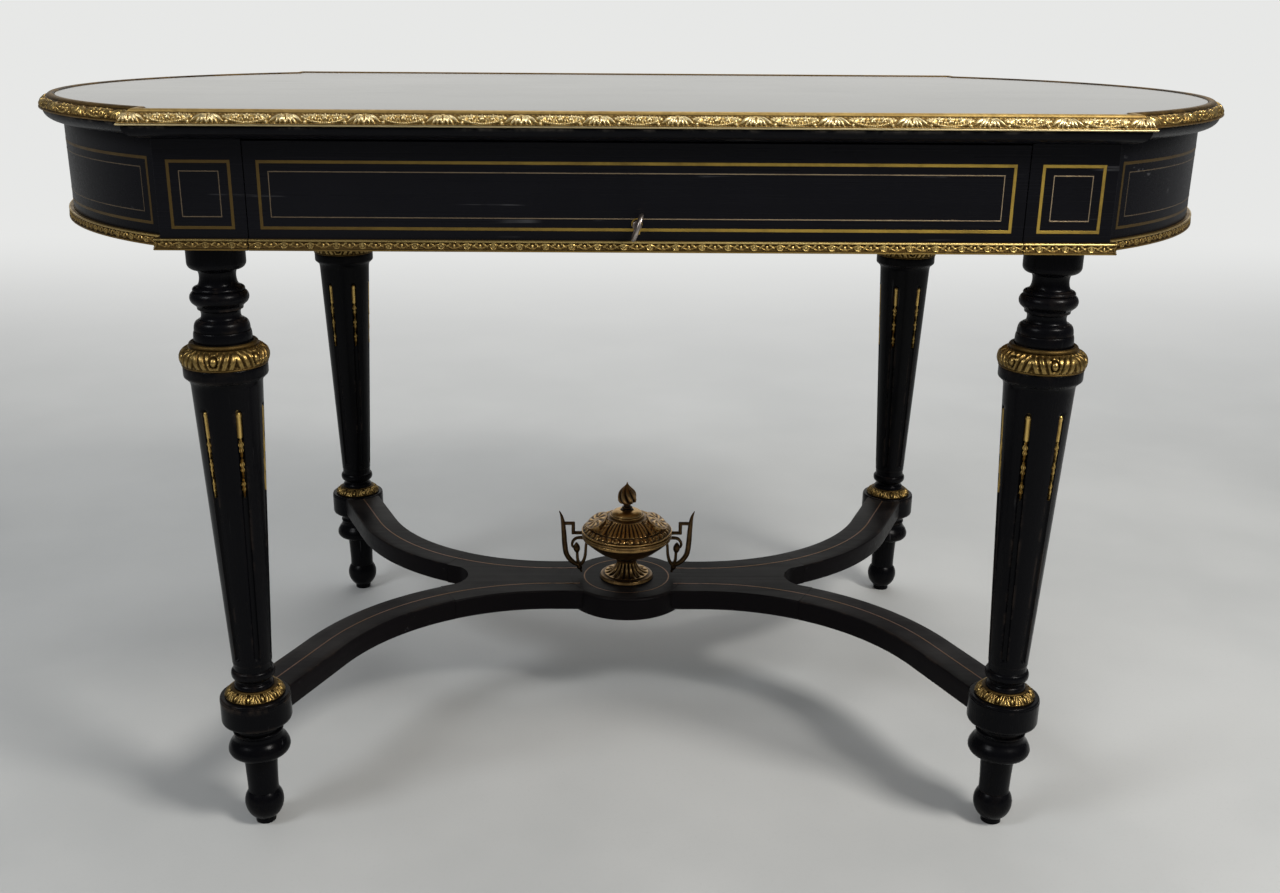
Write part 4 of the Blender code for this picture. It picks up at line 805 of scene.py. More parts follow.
def shell_band() -> Ornament:
    """Drooping shells with a berry at each side, and between them garlands of flowers over a leaf."""
    cut = Chaser.blank(pitch=66.8, band=9.4, step=0.18)
    turn = CIRCLE * cut.x / cut.pitch
    curls = np.sin(31 * turn + 2.1 * np.sin(cut.y / 0.8)) * np.sin(cut.y / 0.42 + 1.7 * np.sin(13 * turn))
    shapes = [0.12 + 0.36 * unit(curls), cut.bud(0.0, 1.8, 1.1, 1.7), 0.8 * cut.bud(0.0, 9.0, 2.4, 1.0)]
    for side in (-1.0, 1.0):
        facing, middle = (0.0 if side > 0 else 180.0), side * cut.pitch / 2
        shapes += [cut.leaf(side * 0.4, 9.2, facing - side * down, length, half, -side * curl, 1.5)
                   for down, length, half, curl in ((78.0, 8.8, 1.1, 0.05), (57.0, 10.6, 1.3, 0.10),
                                                    (38.0, 13.0, 1.5, 0.14), (20.0, 15.8, 1.5, 0.16))]
        away = (cut.x - middle) / 17.2
        swag = 1.0 + 3.2 * away ** 2
        leafy = 0.78 + 0.22 * np.cos(CIRCLE * (cut.x - middle) / 1.6 + 0.9 * (cut.y - swag))
        shapes += [cut.bud(side * 16.4, 1.5, 1.5, 1.5),
                   leafy * hump(cut.y - swag, 1.2) * (np.abs(away) < 1.0)]
        shapes += [0.85 * cut.leaf(side * 16.6, 3.4, 90.0 + lean, 5.6, 1.2, 0.0, 1.2)
                   for lean in (-52.0, -18.0, 18.0, 52.0)]
        for place in (-9.4, 0.0, 9.4):
            shapes.append(cut.bud(middle + place, 6.0, 1.1, 1.1))
            shapes += [cut.leaf(middle + place, 6.0, 72.0 * petal + 18.0, 3.5, 1.2, 0.0, 1.3)
                       for petal in range(5)]
        shapes += [0.9 * cut.leaf(middle + place, 5.6, lean, 4.0, 1.0, 0.1)
                   for place in (-4.7, 4.7) for lean in (62.0, 118.0, 242.0, 298.0)]
        shapes += [0.9 * cut.leaf(middle + way * 12.4, 4.2, 90.0 - way * lean, 5.8, 1.1, 0.2 * way)
                   for way in (-1.0, 1.0) for lean in (18.0, 52.0)]
    return cut.cast(shapes)


def running_band() -> Ornament:
    """A running scroll with a small rosette in each coil."""
    cut = Chaser.blank(pitch=23.2, band=5.6, step=0.16)
    middle = cut.band / 2
    wave = middle + 0.36 * cut.band * np.sin(CIRCLE * cut.x / cut.pitch + math.pi / 2)
    shapes = [0.10 + 0.0 * cut.x, 0.75 * hump(cut.y - wave, 0.5),
              cut.ring(0.0, middle, 2.6, 2.4, 0.20), cut.bud(0.0, middle, 1.1, 1.1)]
    shapes += [0.9 * cut.leaf(0.0, middle, 60.0 * petal + 30.0, 2.3, 0.62) for petal in range(6)]
    for side in (-1.0, 1.0):
        for number in range(3):
            lean = side * (38.0 + 26.0 * number)
            shapes.append(cut.leaf(side * cut.pitch * (0.20 + 0.09 * number), middle - 1.0 + 0.9 * number,
                                   lean if side > 0 else 180.0 + lean, 4.0, 0.75, 0.12))
        shapes.append(cut.bud(side * cut.pitch / 2, middle, 1.1, 1.9))
    return cut.cast(shapes)


@dataclass(frozen=True)
class Plan:
    """The breakfront plan of the frieze and the paths that mouldings follow round it."""

    half_length: float = 0.4236  # between the blocks' outer sides
    half_depth: float = 0.337  # between the front and back
    end_radius: float = 0.378
    end_step: float = 0.01788  # how far the straight part stands in front of a round end

    @property
    def end_centre(self) -> float:
        """Distance of a round end's centre from the middle."""
        return self.half_length - math.sqrt(self.end_radius ** 2 - (self.half_depth - self.end_step) ** 2)

    @property
    def end_reach(self) -> float:
        """Half the length of a round end."""
        return float(self.swing(np.array(0.0))) * self.end_radius

    def step(self, offset: Array) -> Array:
        """Half the depth at which a round end meets the straight part, at an offset outward."""
        reach = self.half_length + offset - self.end_centre
        return np.sqrt((self.end_radius + offset) ** 2 - reach ** 2)

    def swing(self, offset: Array, gap: float = CLEARANCE) -> Array:
        """Half the angle of a round end, at an offset outward."""
        return np.arccos((self.half_length + offset + gap - self.end_centre) / (self.end_radius + offset))

    def on_arc(self, turn: Array, offset: Array, side: Side) -> Places:
        """X and Y at an angle of a round end: its centre plus the grown radius."""
        x, y = spun(self.end_radius + offset, 0.0, turn)
        return side.value * (self.end_centre + x), y

    def round_end(self, offset: Array, share: Array, side: Side, gap: float = CLEARANCE) -> Places:
        """X and Y at a share of a round end, from the front, -1, to the back, 1."""
        return self.on_arc(share * self.swing(offset, gap), offset, side)

    def straight(self, offset: Array, along: Array, back: Array, face: Face) -> Places:
        """Places on the straight front or back and its two short returns, mitred at the corners.

        Args:
            offset: Offset outward from the frieze.
            along: Distance from the middle; past the corner it stays on the mitre.
            back: Share of the return behind the corner.
            face: Front or back.
        Returns:
            X and Y.
        """
        half, depth = self.half_length + offset, self.half_depth + offset
        end = self.step(offset) + CLEARANCE
        return np.clip(along, -half, half), face.value * (depth - back * (depth - end))


PLAN = Plan()


@dataclass(frozen=True)
class Moulding:
    """A gilt moulding: a closed outline of offset and height, with an ornament on one band."""

    profile: Array  # offset and height as rows of two
    plain: Array  # relief value of the outline's points
    band: tuple[int, int]  # first and last outline point of the ornament
    ornament: Ornament
    depth: float  # how deep the ornament is cut
    step: float  # distance between points along the moulding

    @classmethod
    def drawn(cls, runs: list[Run], band: int, ornament: Ornament, depth: float, step: float) -> "Moulding":
        """A moulding from the runs of its outline.

        Args:
            runs, band: Parts of the outline, and the number of the one with the ornament.
            ornament, depth: The ornament, and how deep it is cut.
            step: Distance between points along the moulding.
        Returns:
            The moulding.
        """
        ends = np.cumsum([len(run.outline) for run in runs])
        plain = np.concatenate([np.full(len(run.outline), run.tone) for run in runs])
        return cls(np.concatenate([run.outline for run in runs]), plain,
                   (int(ends[band - 1]), int(ends[band]) - 1), ornament, depth, step)

    def swept(self, along: Array, path: Callable[[Array], Places]) -> Sheet:
        """Carry the outline along a path, sunk along its normal where the ornament is low.

        Args:
            along: Distance along the path at each place, for the ornament.
            path: Gives X and Y for offsets by place and outline point.
        Returns:
            The sheet, closed at both ends.
        """
        first, last = self.band
        profile, wide, ease = self.profile, self.ornament.band, 0.0006
        reach = np.concatenate([[0.0], np.cumsum(np.hypot(*np.diff(profile, axis=0).T))])
        across = (reach - reach[first]) / (reach[last] - reach[first]) * wide
        inside = (np.arange(len(profile)) >= first) & (np.arange(len(profile)) <= last)
        height = np.where(inside, self.ornament.at(along[:, None], across[None, :]), self.plain)
        fade = np.where(inside, eased(0.0, ease, across) * eased(wide, wide - ease, across), 0.0)
        sunk = self.depth * (height - 1.0) * fade
        normal = outward(profile, True)
        x, y = path(profile[:, 0] + normal[:, 0] * sunk)
        return Sheet(xyz(x, y, profile[:, 1] + normal[:, 1] * sunk), height).capped()

    def round_end(self, side: Side) -> Sheet:
        """The length round one end."""
        share = np.linspace(-1.0, 1.0, round(2 * PLAN.end_reach / self.step))
        return self.swept(share * PLAN.end_reach, lambda offset: PLAN.round_end(offset, share[:, None], side))

    def straight(self, face: Face, start: float = -1.0, end: float = 1.0) -> Sheet:
        """A length along the front or back, with the short return where it passes a corner.

        Args:
            face: Front or back.
            start: Distance of its left end from the middle; past the corner it has the return.
            end: Distance of its right end.
        Returns:
            The sheet.
        """
        corner = PLAN.half_length + float(self.profile[:, 0].max())
        turn = np.linspace(0.0, 1.0, 25)[1:]
        first, last = max(start, -corner), min(end, corner)
        along = np.linspace(first, last, round((last - first) / self.step))
        back = 0.0 * along
        if start < -corner:
            along, back = np.append(-corner + 0 * turn, along), np.append(turn[::-1], back)
        if end > corner:
            along, back = np.append(along, corner + 0 * turn), np.append(back, turn)
        distance = along + np.sign(along) * back * (PLAN.half_depth - float(PLAN.step(np.array(0.0))))
        return self.swept(distance, lambda offset: PLAN.straight(offset, along[:, None], back[:, None], face))


def cast(node: str, sheet: Sheet, finish: Material, body: str = "table_frame") -> None:
    """Make a cast length of moulding that stands for a solid."""
    Piece(node + "_cast", "gilt_brass", body, (node,), 62.0).made([sheet], finish)


@dataclass
class TableTop:
    """The polished board with its ovolo, and the gilt moulding round its edge.

    Overhangs past the frieze and heights above the underside are in millimetres.
    """

    underside: float = 0.7050  # height above the floor, in metres
    shelf: float = 11.5  # height of the ledge that the moulding stands on
    surface: float = 24.3  # height of the polished surface
    crest: float = 25.4  # height of the moulding's crest
    lip: float = 3.0  # overhang of the underside
    ovolo: float = 19.0  # overhang of the ovolo
    rebate: float = 5.5  # overhang of the board behind the moulding
    reach: float = 22.0  # overhang of the moulding
    relief: float = 0.0021  # depth of the moulding's ornament, in metres

    def ring(self, offset: Array) -> Array:
        """The plan's outline, anticlockwise: arc, straight, arc, straight.

        Args:
            offset: Offset outward of each row.
        Returns:
            Points, rows by columns by two.
        """
        rows = offset[:, None]
        run = np.linspace(1.0, -1.0, 41)
        arc = np.stack(PLAN.round_end(rows, np.linspace(-1.0, 1.0, 121), Side.RIGHT, 0.0), axis=-1)
        half, depth = PLAN.half_length + rows, PLAN.half_depth + rows
        back = np.stack([half * run, depth + 0.0 * run], axis=-1)
        return np.concatenate([arc, back, -arc, -back], axis=1)

    def slab(self, section: Array) -> Sheet:
        """A closed slab: the plan drawn in and out by the section's offset at each height.

        Args:
            section: Offsets and heights, from the underside upwards.
        Returns:
            The sheet, whose relief marks the edge of the ovolo.
        """
        ring, height = self.ring(section[:, 0]), section[:, 1, None]
        edge = hump(height - self.underside - MM * (self.shelf - 1.1), 0.0013)
        outer = section[:, :1] > MM * (self.rebate + 8.0)
        return Sheet(xyz(ring[..., 0], ring[..., 1], height), edge * outer).capped()

    def make_board(self) -> None:
        """The board in two closed slabs: the ovolo's, and the polished one let into it."""
        pen, nose = Pen(0.0, self.underside), self.ovolo - 0.6
        shelf, rebate, high = self.shelf, self.rebate, self.surface
        edge = outline(
            pen.line(-20, 0, self.lip, 0, 3), pen.quarter(self.lip, 0, nose, shelf - 1.2, True, 14),
            pen.quarter(nose, shelf - 1.2, nose - 1, shelf, False, 5),
            pen.line(nose - 1, shelf, rebate - 2, shelf, 3))
        panel = outline(
            pen.line(rebate, shelf - 4, rebate, high - 0.5, 3),
            pen.quarter(rebate, high - 0.5, rebate - 0.5, high, False, 4),
            pen.line(rebate - 0.5, high, -4, high, 3))
        Piece("polished_top", "ebonised_wood", stands_for=("top_board",), sharp=30.0).made(
            [self.slab(panel)], LACQUER_TOP)
        Piece("top_ovolo", "ebonised_wood", sharp=30.0).made([self.slab(edge)], LACQUER_OVOLO)

    def moulding(self) -> Moulding:
        """Section of the gilt moulding: foot bead, ornament band, plain round crest."""
        pen = Pen(MM * self.reach, self.underside + MM * self.shelf + CLEARANCE)
        inner, crest = self.rebate - self.reach + CLEARANCE / MM, self.crest - self.shelf - CLEARANCE / MM
        runs = [Run(pen.line(inner, 0, -1.2, 0, 3), 0.3), Run(pen.bead(-0.8, 0.1, -0.8, 1.7, 0.8, 7), 0.9),
                Run(pen.line(-1.9, 1.8, -1.8, 2), 0.12), Run(pen.bead(-0.8, 2.1, -8, 10.5, 2.6, 24), 0.36),
                Run(pen.line(-9.2, 10.6, -9.3, 10.8), 0.08),
                Run(pen.quarter(-8.8, 10.9, -12.4, crest, False, 7), 0.36),
                Run(pen.line(-12.5, crest, inner + 1.6, crest - 0.1, 3), 0.36),
                # The inner edge that meets the board is near black: painted shade in the gap between moulding
                # and board.
                Run(pen.quarter(inner + 1.5, crest - 0.1, inner, crest - 1.2, True, 4), 0.02)]
        return Moulding.drawn(runs, 3, shell_band(), self.relief, 0.00062)

    def build(self) -> None:
        """Make the board and its four lengths of moulding."""
        self.make_board()
        section = self.moulding()
        for face in Face:
            cast("top_moulding_" + face.word, section.straight(face), GILT)
        # Round ends: shallower relief, and darker plain parts that are painted shade.
        softer_and_shaded = replace(section, depth=0.85 * section.depth, plain=np.minimum(section.plain, 0.5) * 0.7)
        for side in Side:
            cast(f"top_moulding_{side.word}_end", softer_and_shaded.round_end(side), GILT_END_SHADED)


@dataclass
class Frieze:
    """Blocks, round panels and rails under the top, their base moulding and their stringing."""

    bottom: float = 0.609
    height: float = 95.7  # in millimetres, as is the next
    panel: float = 20.0  # thickness of a round panel
    block_side: float = 0.3455  # distance of a block's inner side from the middle
    drawer_side: float = 0.3447  # distance of the drawer moulding's end from the middle
    foot: float = 0.608  # height of the base moulding's foot
    moulding_depth: float = 0.005
    outer: Pair = (0.6276, 0.6852)  # heights of the wide stringing's two lines
    inner: Pair = (0.6372, 0.6768)  # heights of the fine stringing's two lines
    band: float = 0.0027  # width of the wide stringing
    fine: float = 0.0008  # width of the fine stringing
    long_string: Pair = (-0.3325, 0.3325)  # stringing's ends on the drawer and the back
    block_string: Pair = (0.3577, 0.4112)  # its ends on a block
    end_margin: float = 0.017  # its distance from the ends of a round panel

    def make_panels(self) -> None:
        """Round end panels: a rounded section carried round each end."""
        pen, ease, top, inner = Pen(0.0, self.bottom), 0.8, self.height, -self.panel
        section = outline(
            pen.line(inner, 0, -ease, 0, 3), pen.quarter(-ease, 0, 0, ease, True, 4),
            pen.line(0, ease, 0, top - ease, 9), pen.quarter(0, top - ease, -ease, top, False, 4),
            pen.line(-ease, top, inner, top, 3))
        share = np.linspace(-1.0, 1.0, 161)[:, None]
        for side in Side:
            sheet = Sheet(xyz(*PLAN.round_end(section[:, 0], share, side), section[:, 1]), 0.0).capped()
            Piece("round_panel_" + side.word, "ebonised_wood", stands_for=("end_panel_" + side.word,),
                  sharp=30.0).made([sheet], LACQUER_END)

    def moulding(self) -> Moulding:
        """Section of the base moulding: plain foot, ornament band and a top bead."""
        pen, back = Pen(CLEARANCE + self.moulding_depth, self.foot), -self.moulding_depth / MM
        runs = [Run(pen.line(back, 0, -0.7, 0, 3), 0.55), Run(pen.quarter(-0.6, 0, 0, 0.7, True, 4), 0.55),
                Run(pen.line(0, 0.9, 0, 1.6), 0.55), Run(pen.line(-1.1, 1.8, -1, 2), 0.1),
                Run(pen.bead(-0.1, 2.2, -0.6, 7.8, 0.1, 14), 0.55), Run(pen.line(-1.5, 8, -1.5, 8.1), 0.1),
                Run(pen.bead(-0.7, 8.3, -1.6, 10, 0.7, 5), 0.84), Run(pen.line(-1.8, 10, back, 10, 3), 0.55)]
        return Moulding.drawn(runs, 4, running_band(), 0.0013, 0.00055)

    def make_mouldings(self) -> None:
        """Base mouldings: four corner lengths, the drawer's and the back's, and two round ends."""
        section, half = self.moulding(), self.block_side - CLEARANCE
        for corner, face, side in CORNERS:
            ends = sorted((side.value * self.block_side, side.value))
            cast("base_moulding_" + corner, section.straight(face, *ends), GILT_BASE)
        front = section.straight(Face.FRONT, -self.drawer_side, self.drawer_side)
        cast("base_moulding_drawer", front, GILT_BASE, "drawer")
        cast("base_moulding_back", section.straight(Face.BACK, -half, half), GILT_BASE)
        for side in Side:
            # The base's round ends take the same darker gilt: painted shade.
            cast(f"base_moulding_{side.word}_end", section.round_end(side), GILT_END_SHADED)

    def string(self, ends: Pair, heights: Pair, width: float, face: Path) -> Sheet:
        """A mitred rectangle of stringing let into a face.

        Args:
            ends, heights: Places of its left and right line, and heights of its lower and upper line.
            width: Width of the line.
            face: Gives X and Y for a place along the face and a height above it.
        Returns:
            The sheet: a flat section with eased edges, carried round the four sides.
        """
        half, proud, sunk, ease = width / 2, 0.00016, 0.0006, 0.00012
        inset = np.array([-half, -half, ease - half, half - ease, half, half])
        lift = np.array([-sunk, proud - ease, proud, proud, proud - ease, -sunk])
        run, rise = shares(161)[:-1], shares(9)[:-1]
        l, r, b, t = ends[0] + inset, ends[1] - inset, heights[0] + inset, heights[1] - inset
        u = np.concatenate([l + (r - l) * run, r + 0 * rise, r + (l - r) * run, l + 0 * rise])
        v = np.concatenate([b + 0 * run, b + (t - b) * rise, t + 0 * run, t + (b - t) * rise])
        return Sheet(xyz(*face(u, lift), v), np.where(lift > 0.0001, 0.62, 0.35), True)

    def strings(self, ends: Pair, gap: float, face: Path, name: str,
                body: str = "table_frame") -> None:
        """The wide and the fine rectangle of stringing on one face.

        Args:
            ends: Places of the wide rectangle's left and right line.
            gap: Distance between the wide and the fine line at the sides.
            face, name: The face, as string takes it, and its name.
            body: Body that they ride on.
        """
        left, right = sorted(ends)
        Piece("stringing_" + name, "gilt_brass", body).made(
            [self.string((left, right), self.outer, self.band, face)], STRINGING)
        Piece("stringing_fine_" + name, "gilt_brass", body).made(
            [self.string((left + gap, right - gap), self.inner, self.fine, face)], STRINGING_FINE)

    def make_stringing(self) -> None:
        """Brass stringing on the drawer, the blocks, the back and the round ends."""
        def flat(face: Face) -> Path:
            """The flat front or back."""
            return lambda u, lift: (u, face.value * (PLAN.half_depth + lift))

        def curved(side: Side) -> Path:
            """A round end."""
            return lambda u, lift: PLAN.on_arc(u / PLAN.end_radius, lift, side)

        self.strings(self.long_string, 0.0090, flat(Face.FRONT), "drawer", "drawer")
        self.strings(self.long_string, 0.0090, flat(Face.BACK), "back")
        for corner, face, side in CORNERS:
            near, far = self.block_string
            self.strings((side.value * near, side.value * far), 0.0095, flat(face), "block_" + corner)
        reach = PLAN.end_reach - self.end_margin
        for side in Side:
            self.strings((-reach, reach), 0.0095, curved(side), side.word + "_end")

    def build(self) -> None:
        """Make the panels, mouldings and stringing, and dress the blocks and rails."""
        self.make_panels()
        self.make_mouldings()
        self.make_stringing()
        for corner, _, _ in CORNERS:
            dressed("corner_block_" + corner, LACQUER, 0.0006)
        dressed("back_rail", LACQUER, 0.0006)
        for side in Side:
            dressed("inner_rail_" + side.word, WOOD_DEEP, 0.0005)
            dressed("drawer_runner_" + side.word, WOOD_DEEP, 0.0005)
        dressed("front_rail", WOOD_LONG, 0.0004)


@dataclass
class Legs:
    """Four turned and fluted legs with their feet, gilt collars and husk drops."""

    x: float = 0.3845  # distance of a leg's axis from the middle, along the table
    y: float = 0.306  # the same across it
    shaft_low: float = 0.1833  # height where the tapered shaft starts
    shaft_high: float = 0.4758
    slim: float = 0.0196  # radius of the shaft at its foot
    stout: float = 0.0330  # radius at its head
    flutes: int = 6
    flute_radius: float = 0.0033  # radius of a flute's hollow
    flute_half: float = 0.00322  # half the width of a flute
    flute_lift: float = 0.0007  # how far the hollow's centre lies outside the shaft
    flute_low: float = 0.1966  # height of the centre of a flute's lower round end
    flute_high: float = 0.4550
    collar_foot: float = 0.4966  # height of the upper collar's foot
    ring_foot: float = 0.1503  # height of the lower collar's foot
    drop: float = 0.086  # length of a husk drop

    def __post_init__(self) -> None:
        """Work out the directions of the flutes."""
        self.sector = CIRCLE / self.flutes
        self.turns = math.radians(-60.0) + self.sector * np.arange(self.flutes)

    def shaft_radius(self, height: Array) -> Array:
        """Radius of the tapered shaft at a height."""
        share = (height - self.shaft_low) / (self.shaft_high - self.shaft_low)
        return self.slim + (self.stout - self.slim) * share

    def leg_profile(self) -> Array:
        """Outline of the leg from the foot block to the frieze."""
        pen, slim, stout, high = Pen(), self.slim / MM, self.stout / MM, self.shaft_high / MM
        return outline(
            pen.line(1, 150.3, 17, 150.3), pen.line(17.8, 150.3, 17.8, 155.3),
            pen.bead(17.8, 155.5, 17.1, 164.7, 2.4, 12), pen.line(16.8, 164.9, 16.6, 165.3),
            pen.bead(16.6, 165.5, 17.4, 168.9, -0.7, 6), pen.bead(18.4, 169.2, 19.2, 179.5, 3.1, 18),
            pen.quarter(19, 179.7, slim, 187.3, False, 6), pen.line(slim, 187.5, stout, high, 150),
            pen.quarter(stout, high, 36.2, 483.8, False, 8), pen.line(36.6, 484.2, 37, 485),
            pen.quarter(37.2, 485.2, 39, 487.8, True, 6), pen.line(39, 488, 39, 495.6, 3),
            pen.quarter(39, 495.6, 38.3, 496.3, False, 4), pen.line(38, 496.3, 27.2, 496.3, 3),
            pen.line(26.6, 496.6, 26.4, 518, 4), pen.bead(26.2, 518.5, 25.7, 528.6, 0.9, 12),
            pen.line(24.9, 528.8, 24.9, 529.2), pen.quarter(25.7, 529.5, 22.2, 538, False, 10),
            pen.line(21.2, 538.2, 21, 539.1), pen.bead(20.2, 539.4, 20, 548.6, -2.2, 14),
            pen.line(20.8, 548.9, 21.2, 551.6, 3), pen.bead(19.9, 552.7, 19.9, 566.7, 7, 22)[4:-4],
            pen.line(22.6, 566.1, 22.5, 566.6), pen.quarter(23.8, 566.9, 21, 569.7, False, 8),
            pen.line(20.3, 569.9, 20.2, 570.3), pen.bead(19.9, 570.5, 18.7, 585, -2.6, 18),
            pen.line(19.1, 585.3, 19.7, 585.7), pen.quarter(20.3, 585.9, 26.7, 592.2, True, 9),
            pen.line(26.7, 592.4, 26.7, 607.8, 4), pen.quarter(26.7, 607.9, 25.9, 608.7, False, 4),
            pen.line(25, 608.7, 1, 608.7))

    def leg(self) -> Sheet:
        """The leg about the Z axis, with round-ended flutes cut in along its taper.

        Columns bunch on the flutes: within each sixth, nine columns span the flute's width at
        that height and six the land beside it. A flute moves its points in along its middle
        line to the hollow's circle, wherever the circle lies inside the shaft.
        """
        profile = self.leg_profile()
        radius, height = profile[:, 0, None], profile[:, 1, None]
        held = np.clip(height, self.shaft_low, self.shaft_high)
        half = np.arcsin(self.flute_half / self.shaft_radius(held))
        land = half + (self.sector - 2 * half) * np.linspace(0.0, 1.0, 8)[1:-1]
        local = np.concatenate([half * np.linspace(-1.0, 1.0, 9), land], axis=1)
        past = np.maximum(np.maximum(self.flute_low - height, height - self.flute_high), 0.0)
        chord, ahead = radius * np.sin(local), radius * np.cos(local)
        open_by = self.flute_radius ** 2 - chord ** 2 - past ** 2
        hollow = radius + self.flute_lift - np.sqrt(np.maximum(open_by, 0.0))
        on_shaft = (height > self.shaft_low) & (height < self.shaft_high)
        cut = (np.abs(local) <= half + 1e-9) & (open_by > 0.0) & (hollow < ahead) & on_shaft
        x, y = spun(np.where(cut, hollow, ahead)[:, None], chord[:, None], self.turns[:, None])
        x, y = (place.reshape(len(profile), -1) for place in (x, y))
        arris = hump((np.abs(local) - half) / half, 0.2) * (past < 0.001) * (radius < self.stout + 0.0005)
        worn = np.maximum(worn_edges(profile)[:, None], 0.6 * arris)
        return Sheet(xyz(x, y, height), np.tile(worn, (1, self.flutes))).capped()

    def foot(self) -> Sheet:
        """The turned foot: pad, ball, ankle, cushion and the block that takes the stretcher."""
        pen, ball, centre, drop = Pen(), 0.0200, 0.0245, 0.0222
        turn = np.linspace(-math.acos(0.0105 / ball), math.acos(0.0154 / ball), 26)
        rise = np.where(turn < 0.0, drop, ball) * np.sin(turn)
        sphere = np.stack([ball * np.cos(turn), centre + rise], axis=1)
        return turned(outline(
            pen.line(1, 0, 9.8, 0), pen.quarter(9.8, 0, 10.5, 0.7, True, 4),
            pen.line(10.5, 0.9, 10.5, sphere[0, 1] / MM - 0.2, 3), sphere, pen.line(15.6, 37.6, 15.8, 38.2),
            pen.bead(15.8, 38.4, 17.5, 79, -0.5, 16), pen.line(17.7, 79.6, 18.1, 80.6),
            pen.smooth([(19, 81.5), (24, 82), (28.8, 83.6), (31.2, 87.6), (31.1, 91.6), (29, 96.4),
                        (25.6, 101.2), (24.3, 106.2)], 7),
            pen.bead(24, 107, 23.8, 110.2, 1.4, 8), pen.line(23.1, 110.6, 23.1, 111.2),
            pen.bead(23.6, 111.6, 26.8, 117.6, -1.2, 10), pen.quarter(30, 119.6, 35, 122.2, True, 8),
            pen.quarter(35.1, 122.4, 35.5, 124, True, 4), pen.line(35.5, 124.6, 35.5, 146.5, 8),
            pen.line(34.9, 146.8, 34.9, 147.3), pen.quarter(35.3, 147.6, 33.8, 150, False, 6),
            pen.line(33.6, 150, 1, 150, 3)), 96)

    def folded(self, columns: int, sectors: int) -> Array:
        """Share of the way round a ring from each boss to half way to the next, folded about the boss."""
        half = math.pi / sectors
        return np.abs((around(columns) + math.pi / 2 + half) % (2 * half) - half) / half

    def upper_collar(self) -> Sheet:
        """The upper collar: lobes that slant away from six oval bosses, under a plain round lip.

        The lobes' phase is the distance from the boss plus a slant with height, and their
        section is a power of its sine.
        """
        pen = Pen(0.0, self.collar_foot)
        lobe = outline(pen.quarter(39.6, 2.2, 42, 7.8, True, 9), pen.quarter(42, 8, 32.2, 17.8, False, 16))
        share, folded = shares(len(lobe)), self.folded(336, 6)
        phase = folded * 3.1 - 0.95 * (share - 0.25)
        lobes = 0.04 + 0.90 * np.abs(np.sin(math.pi * phase)) ** 0.75
        vein = 1.0 - 0.25 * hump(phase % 1.0 - 0.5, 0.10)
        reach = np.sqrt((folded / 0.24) ** 2 + ((share - 0.46) / 0.38) ** 2)
        boss = np.maximum(np.sqrt(unit(1.0 - (reach / 0.72) ** 2)), 0.9 * hump(reach - 0.95, 0.10))
        art = np.where(reach < 1.0, boss, lobes * vein)
        rim = eased(0.0, 0.10, share) * eased(1.0, 0.94, share)
        foot = [pen.line(27.3, 0, 38.8, 0, 3), pen.bead(39, 0.1, 38.8, 1.9, 0.8, 6),
                pen.line(38.2, 2, 38.4, 2.1)]
        lip = [pen.line(31.2, 18, 30.8, 18.2), pen.bead(31.3, 18.5, 29.2, 21.9, 1.4, 10),
               pen.line(28.8, 21.9, 27.3, 21.7, 3)]
        return chased([Run(np.concatenate(foot), 0.45), Run(lobe, art, 1.0 - rim * (1.0 - art)),
                       Run(np.concatenate(lip), 0.34)], 0.0034, 336, True)

    def lower_collar(self) -> Sheet:
        """The lower collar: a sloping ring of leaves in pairs that lean away from small eggs."""
        pen = Pen(0.0, self.ring_foot)
        leafy = pen.bead(30.1, 1.8, 23.2, 8.2, 1.1, 16)
        share, folded = shares(len(leafy)), self.folded(312, 12)
        phase = folded * 2.5 - 0.8 * (share - 0.3)
        vein = 1.0 - 0.3 * hump(phase % 1.0 - 0.5, 0.09)
        leaves = 0.05 + 0.9 * np.abs(np.sin(math.pi * phase)) ** 0.7 * vein
        egg = np.sqrt(unit(1.0 - (folded / 0.22) ** 2 - ((share - 0.45) / 0.36) ** 2))
        art = np.maximum(leaves * (folded > 0.26), egg)
        rim = eased(0.0, 0.12, share) * eased(1.0, 0.90, share)
        foot = [pen.line(19.8, 0, 29.4, 0, 3), pen.quarter(29.6, 0, 30.2, 0.8, True, 4),
                pen.line(30.2, 1, 30.2, 1.4)]
        lip = [pen.bead(22.7, 8.2, 20.8, 9.5, 0.6, 6), pen.line(20.5, 9.5, 19.8, 9.3)]
        return chased([Run(np.concatenate(foot), 0.32), Run(leafy, art, 1.0 - rim * (1.0 - art)),
                       Run(np.concatenate(lip), 0.32)], 0.0018, 312, True)

